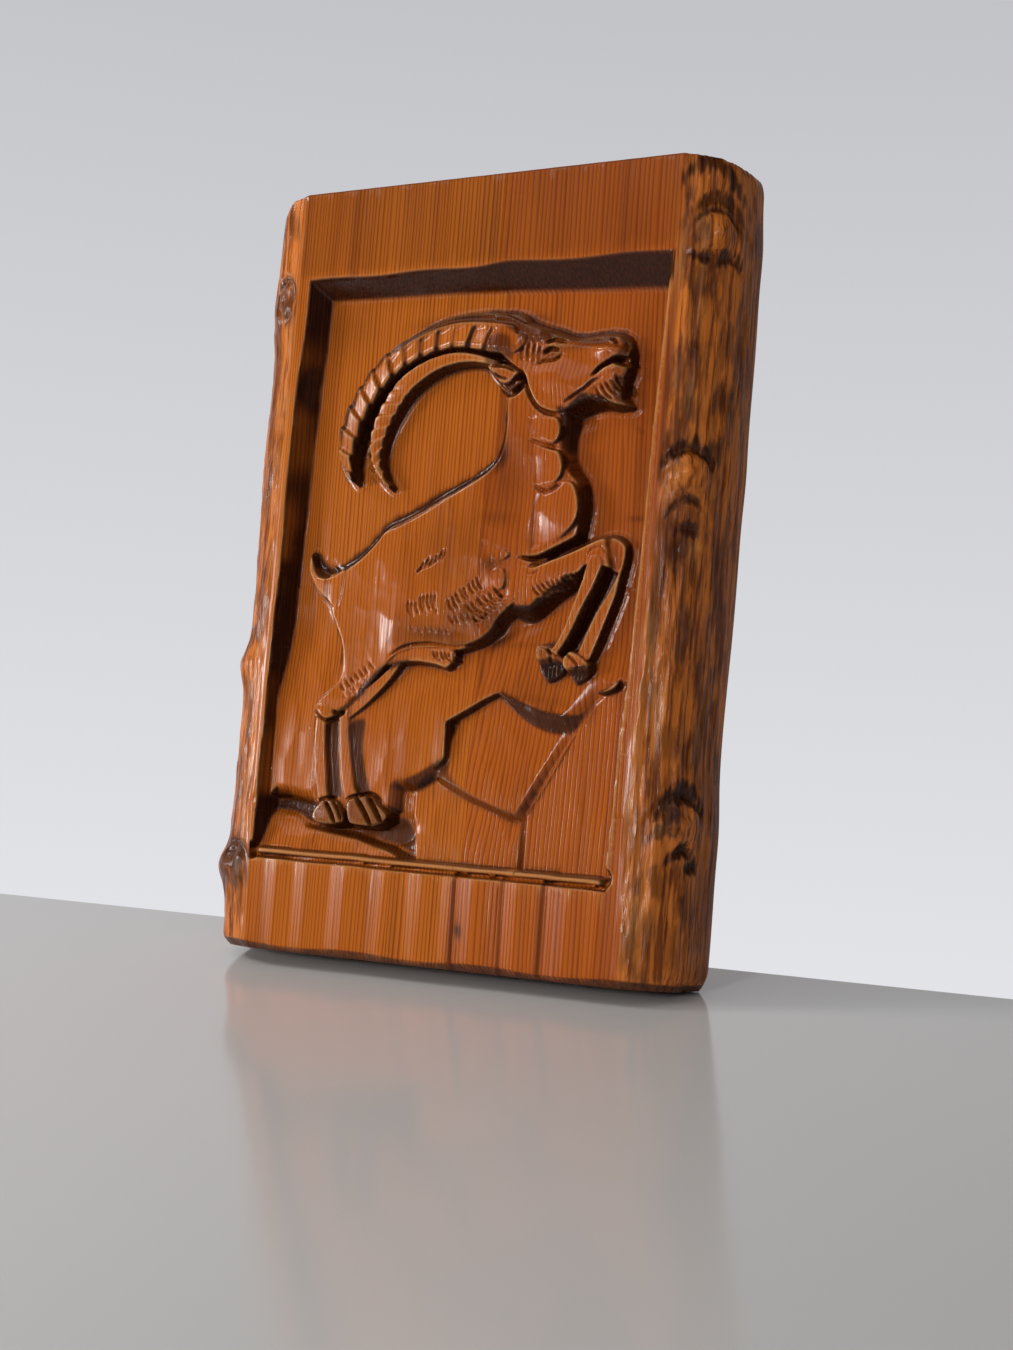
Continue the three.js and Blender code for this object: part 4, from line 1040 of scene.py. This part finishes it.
def pine_finish(name, pith, ring, early, late, redness):
    """pith is where the log's heart lies, across and back, in metres; ring is a year's growth."""
    material = bpy.data.materials.new(name)
    material.use_nodes = True
    tree = material.node_tree
    shader = tree.nodes["Principled BSDF"]
    start = Flow(tree, tree.nodes.new("ShaderNodeTexCoord").outputs["Object"])
    apart = tree.nodes.new("ShaderNodeSeparateXYZ")
    tree.links.new(start.socket, apart.inputs[0])
    x, y = (Flow(tree, apart.outputs[axis]) for axis in ("X", "Y"))

    def stretched(scale):
        return start.node("ShaderNodeMapping", {}, {"Vector": start, "Scale": scale})

    def noise(scale, detail=3.0, rough=0.5):
        inputs = {"Vector": stretched(scale), "Scale": 1.0, "Detail": detail, "Roughness": rough}
        return start.node("ShaderNodeTexNoise", {}, inputs)

    def mark(title):
        return start.node("ShaderNodeAttribute", {"attribute_name": title}, {}, "Fac")

    def mixed(share, first, second, blend="MIX"):
        made = tree.nodes.new("ShaderNodeMix")
        made.data_type, made.blend_type = "RGBA", blend
        for key, value in ((0, share), (6, first), (7, second)):
            if isinstance(value, Flow):
                tree.links.new(value.socket, made.inputs[key])
            elif key:
                made.inputs[key].default_value = (*value, 1)
            else:
                made.inputs[key].default_value = value
        return Flow(tree, made.outputs[2])

    stained_and_shaded, paled, barked = mark("stain_and_shade"), mark("pale"), mark("bark")
    # Growth rings: shells round the heart, drawn out along the trunk, each ending in a thin
    # dark line.
    wander = noise((22, 22, 3.2), 2) - 0.5
    away = ((x - pith[0]) ** 2 + (y - pith[1]) ** 2) ** 0.5
    jitter = noise((230, 230, 4), 2) - 0.5
    year = ((away + wander * 0.009 + jitter * 0.0028) / ring).maths("FRACT")
    late_wood = year.eased(0.35, 0.92) * (1 - year.eased(0.93, 1.0))
    fibre = noise((900, 900, 18), 3, 0.6)
    streak = noise((160, 160, 5), 3, 0.6)
    cloud = noise((14, 14, 7), 2)
    grain = (late_wood * (0.5 + streak * 0.8) + (fibre - 0.5) * 0.6).clamped()
    wood = mixed(grain, early, late)
    wood = mixed((cloud.eased(0.35, 0.7) * 0.4).clamped(), wood, redness)
    wood = mixed((streak.eased(0.5, 0.75) * 0.32).clamped(), wood, (0.15, 0.028, 0.004))
    # The peeled edge.
    bark_streak = noise((520, 520, 26), 4, 0.68)
    bark_patch = noise((85, 85, 24), 4, 0.65)
    peeled = mixed(bark_streak.eased(0.45, 0.62) * 0.85, (0.66, 0.185, 0.024), (0.15, 0.03, 0.006))
    peeled = mixed(bark_patch.eased(0.48, 0.62) * 0.7, peeled, (0.1, 0.02, 0.005))
    wood = mixed(barked, wood, peeled)
    # Painted highlight on fine ridges and on strips of the rounded edges; on the ridges partly edge wear.
    wood = mixed((paled * 0.7).clamped(), wood, (0.6, 0.27, 0.085))
    # The stain and the painted shade darken the wood.
    dark = (stained_and_shaded * (0.86 + fibre * 0.25)).clamped()
    wood = mixed(dark, wood, (0.022, 0.0042, 0.0009))
    # Bare wood on the back.
    bare = y.eased(-0.0012, -0.0004)
    wood = mixed(bare, wood, mixed(grain, (0.46, 0.24, 0.09), (0.3, 0.13, 0.042)))
    tree.links.new(wood.socket, shader.inputs["Base Color"])
    rough = (0.21 + (fibre - 0.5) * 0.26 + bare * 0.35).clamped()
    tree.links.new(rough.socket, shader.inputs["Roughness"])
    height = fibre * 0.35 - late_wood * 0.2 + barked * (bark_streak * 3.4 + bark_patch * 2) + streak * 0.25
    relief = {"Height": height, "Strength": 0.55, "Distance": 0.00022}
    dent = start.node("ShaderNodeBump", {}, relief, "Normal")
    tree.links.new(dent.socket, shader.inputs["Normal"])
    shader.inputs["IOR"].default_value = 1.45
    shader.inputs["Specular IOR Level"].default_value = 0.32
    return material


left_panel.data.materials.append(pine_finish(
    "pine_left", (0.122, 0.03), 0.0014,
    (0.55, 0.145, 0.012), (0.27, 0.052, 0.005), (0.4, 0.078, 0.006)))
right_panel.data.materials.append(pine_finish(
    "pine_right", (-0.078, 0.04), 0.0016,
    (0.5, 0.118, 0.01), (0.25, 0.044, 0.005), (0.34, 0.06, 0.006)))

# A pale table top, tipped by the angle at which the panel leans back on it. It isn't part of the
# panel, and neither are the lights.
lean = math.radians(10.61)
bpy.ops.object.select_all(action="DESELECT")
bpy.ops.mesh.primitive_cube_add(size=1)
table = bpy.context.object
table.name = "table_top"
table.scale = (2.4, 1.3, 0.02)
table.rotation_euler = (lean, 0, 0)
normal = np.array([0, -math.sin(lean), math.cos(lean)])
along_table = np.array([0, math.cos(lean), math.sin(lean)])
foot_point = np.array([0, 0, -panel_height / 2 * MM])
table.location = foot_point - 0.0102 * normal - 0.612 * along_table
table_finish = bpy.data.materials.new("table_finish")
table_finish.use_nodes = True
table_shader = table_finish.node_tree.nodes["Principled BSDF"]
table_shader.inputs["Base Color"].default_value = (0.76, 0.745, 0.72, 1)
table_shader.inputs["Roughness"].default_value = 0.14
table.data.materials.append(table_finish)

world = bpy.data.worlds.new("room")
bpy.context.scene.world = world
world.use_nodes = True
room = world.node_tree
way = Flow(room, room.nodes.new("ShaderNodeTexCoord").outputs["Generated"])
parts = room.nodes.new("ShaderNodeSeparateXYZ")
room.links.new(way.socket, parts.inputs[0])
along, behind, above = (Flow(room, socket) for socket in parts.outputs)
# The wall behind is bright, and the room in front of the panel is dim.
wall_side = (behind + above * 0.3).eased(-0.2, 0.4) * (1 - along.eased(-0.15, 0.15) * 0.7)
brightness = wall_side * (0.71 - above * 0.5) * (1 - above.eased(0.42, 0.6) * 0.85) + 0.045
room.links.new(brightness.socket, room.nodes["Background"].inputs["Strength"])
room.nodes["Background"].inputs["Color"].default_value = (0.98, 0.985, 1.03, 1)


def soft_light(name, place, size, power, tint=(1, 1, 1)):
    """A soft square light that faces the panel."""
    light = bpy.data.lights.new(name, "AREA")
    light.shape, light.size, light.energy, light.color = "SQUARE", size, power, tint
    lamp = bpy.data.objects.new(name, light)
    bpy.context.scene.collection.objects.link(lamp)
    lamp.location = place
    away = np.array(place)
    lamp.rotation_euler = (
        math.atan2(math.hypot(away[0], away[1]), away[2]), 0, math.atan2(away[1], away[0]) + math.pi / 2)


soft_light("window_left", (-1.26, -0.86, 0.02), 0.26, 7.4)
soft_light("window_high", (-1.36, -0.66, 0.9), 0.3, 6)
soft_light("window_above", (-0.4, -1.0, 1.2), 1.3, 6)
soft_light("window_low", (-1.08, -1.08, -0.06), 0.16, 0.8)
soft_light("window_front", (-0.06, -1.5, 0.02), 0.17, 5, (1, 0.97, 0.98))
soft_light("window_right", (1.0, -1.3, 0.4), 1.2, 2.5)

# The camera, at the height and angle from which the panel was seen.
focal_pixels, frame_pixels, sensor = 2028, 1350, 36
camera_data = bpy.data.cameras.new("camera")
camera_data.sensor_fit = "VERTICAL"
camera_data.sensor_height = sensor
camera_data.lens = focal_pixels / frame_pixels * sensor
camera = bpy.data.objects.new("camera", camera_data)
bpy.context.scene.collection.objects.link(camera)
yaw, pitch_up, roll = math.radians(29.83), math.radians(-4.41), math.radians(-0.92)
level = math.cos(pitch_up)
forward = np.array([-math.sin(yaw) * level, math.cos(yaw) * level, math.sin(pitch_up)])
right = np.array([math.cos(yaw), math.sin(yaw), 0])
up = np.cross(right, forward)
right, up = right * math.cos(roll) + up * math.sin(roll), up * math.cos(roll) - right * math.sin(roll)
# The room's axes, as the leaning panel sees them.
panel_out = np.array([0, -math.cos(lean), math.sin(lean)])
panel_up = np.array([0, math.sin(lean), math.cos(lean)])
turn = np.array([[1, 0, 0], -panel_out, panel_up])
axes = turn @ np.stack([right, up, -forward], axis=1)
eye = (385.1 + joint_x, -677.6, 46.9 - panel_height / 2)
matrix = np.eye(4)
matrix[:3, :3] = axes
matrix[:3, 3] = np.array(eye) * MM
camera.matrix_world = Matrix(matrix.tolist())
bpy.context.scene.camera = camera
bpy.context.scene.view_settings.view_transform = "Standard"
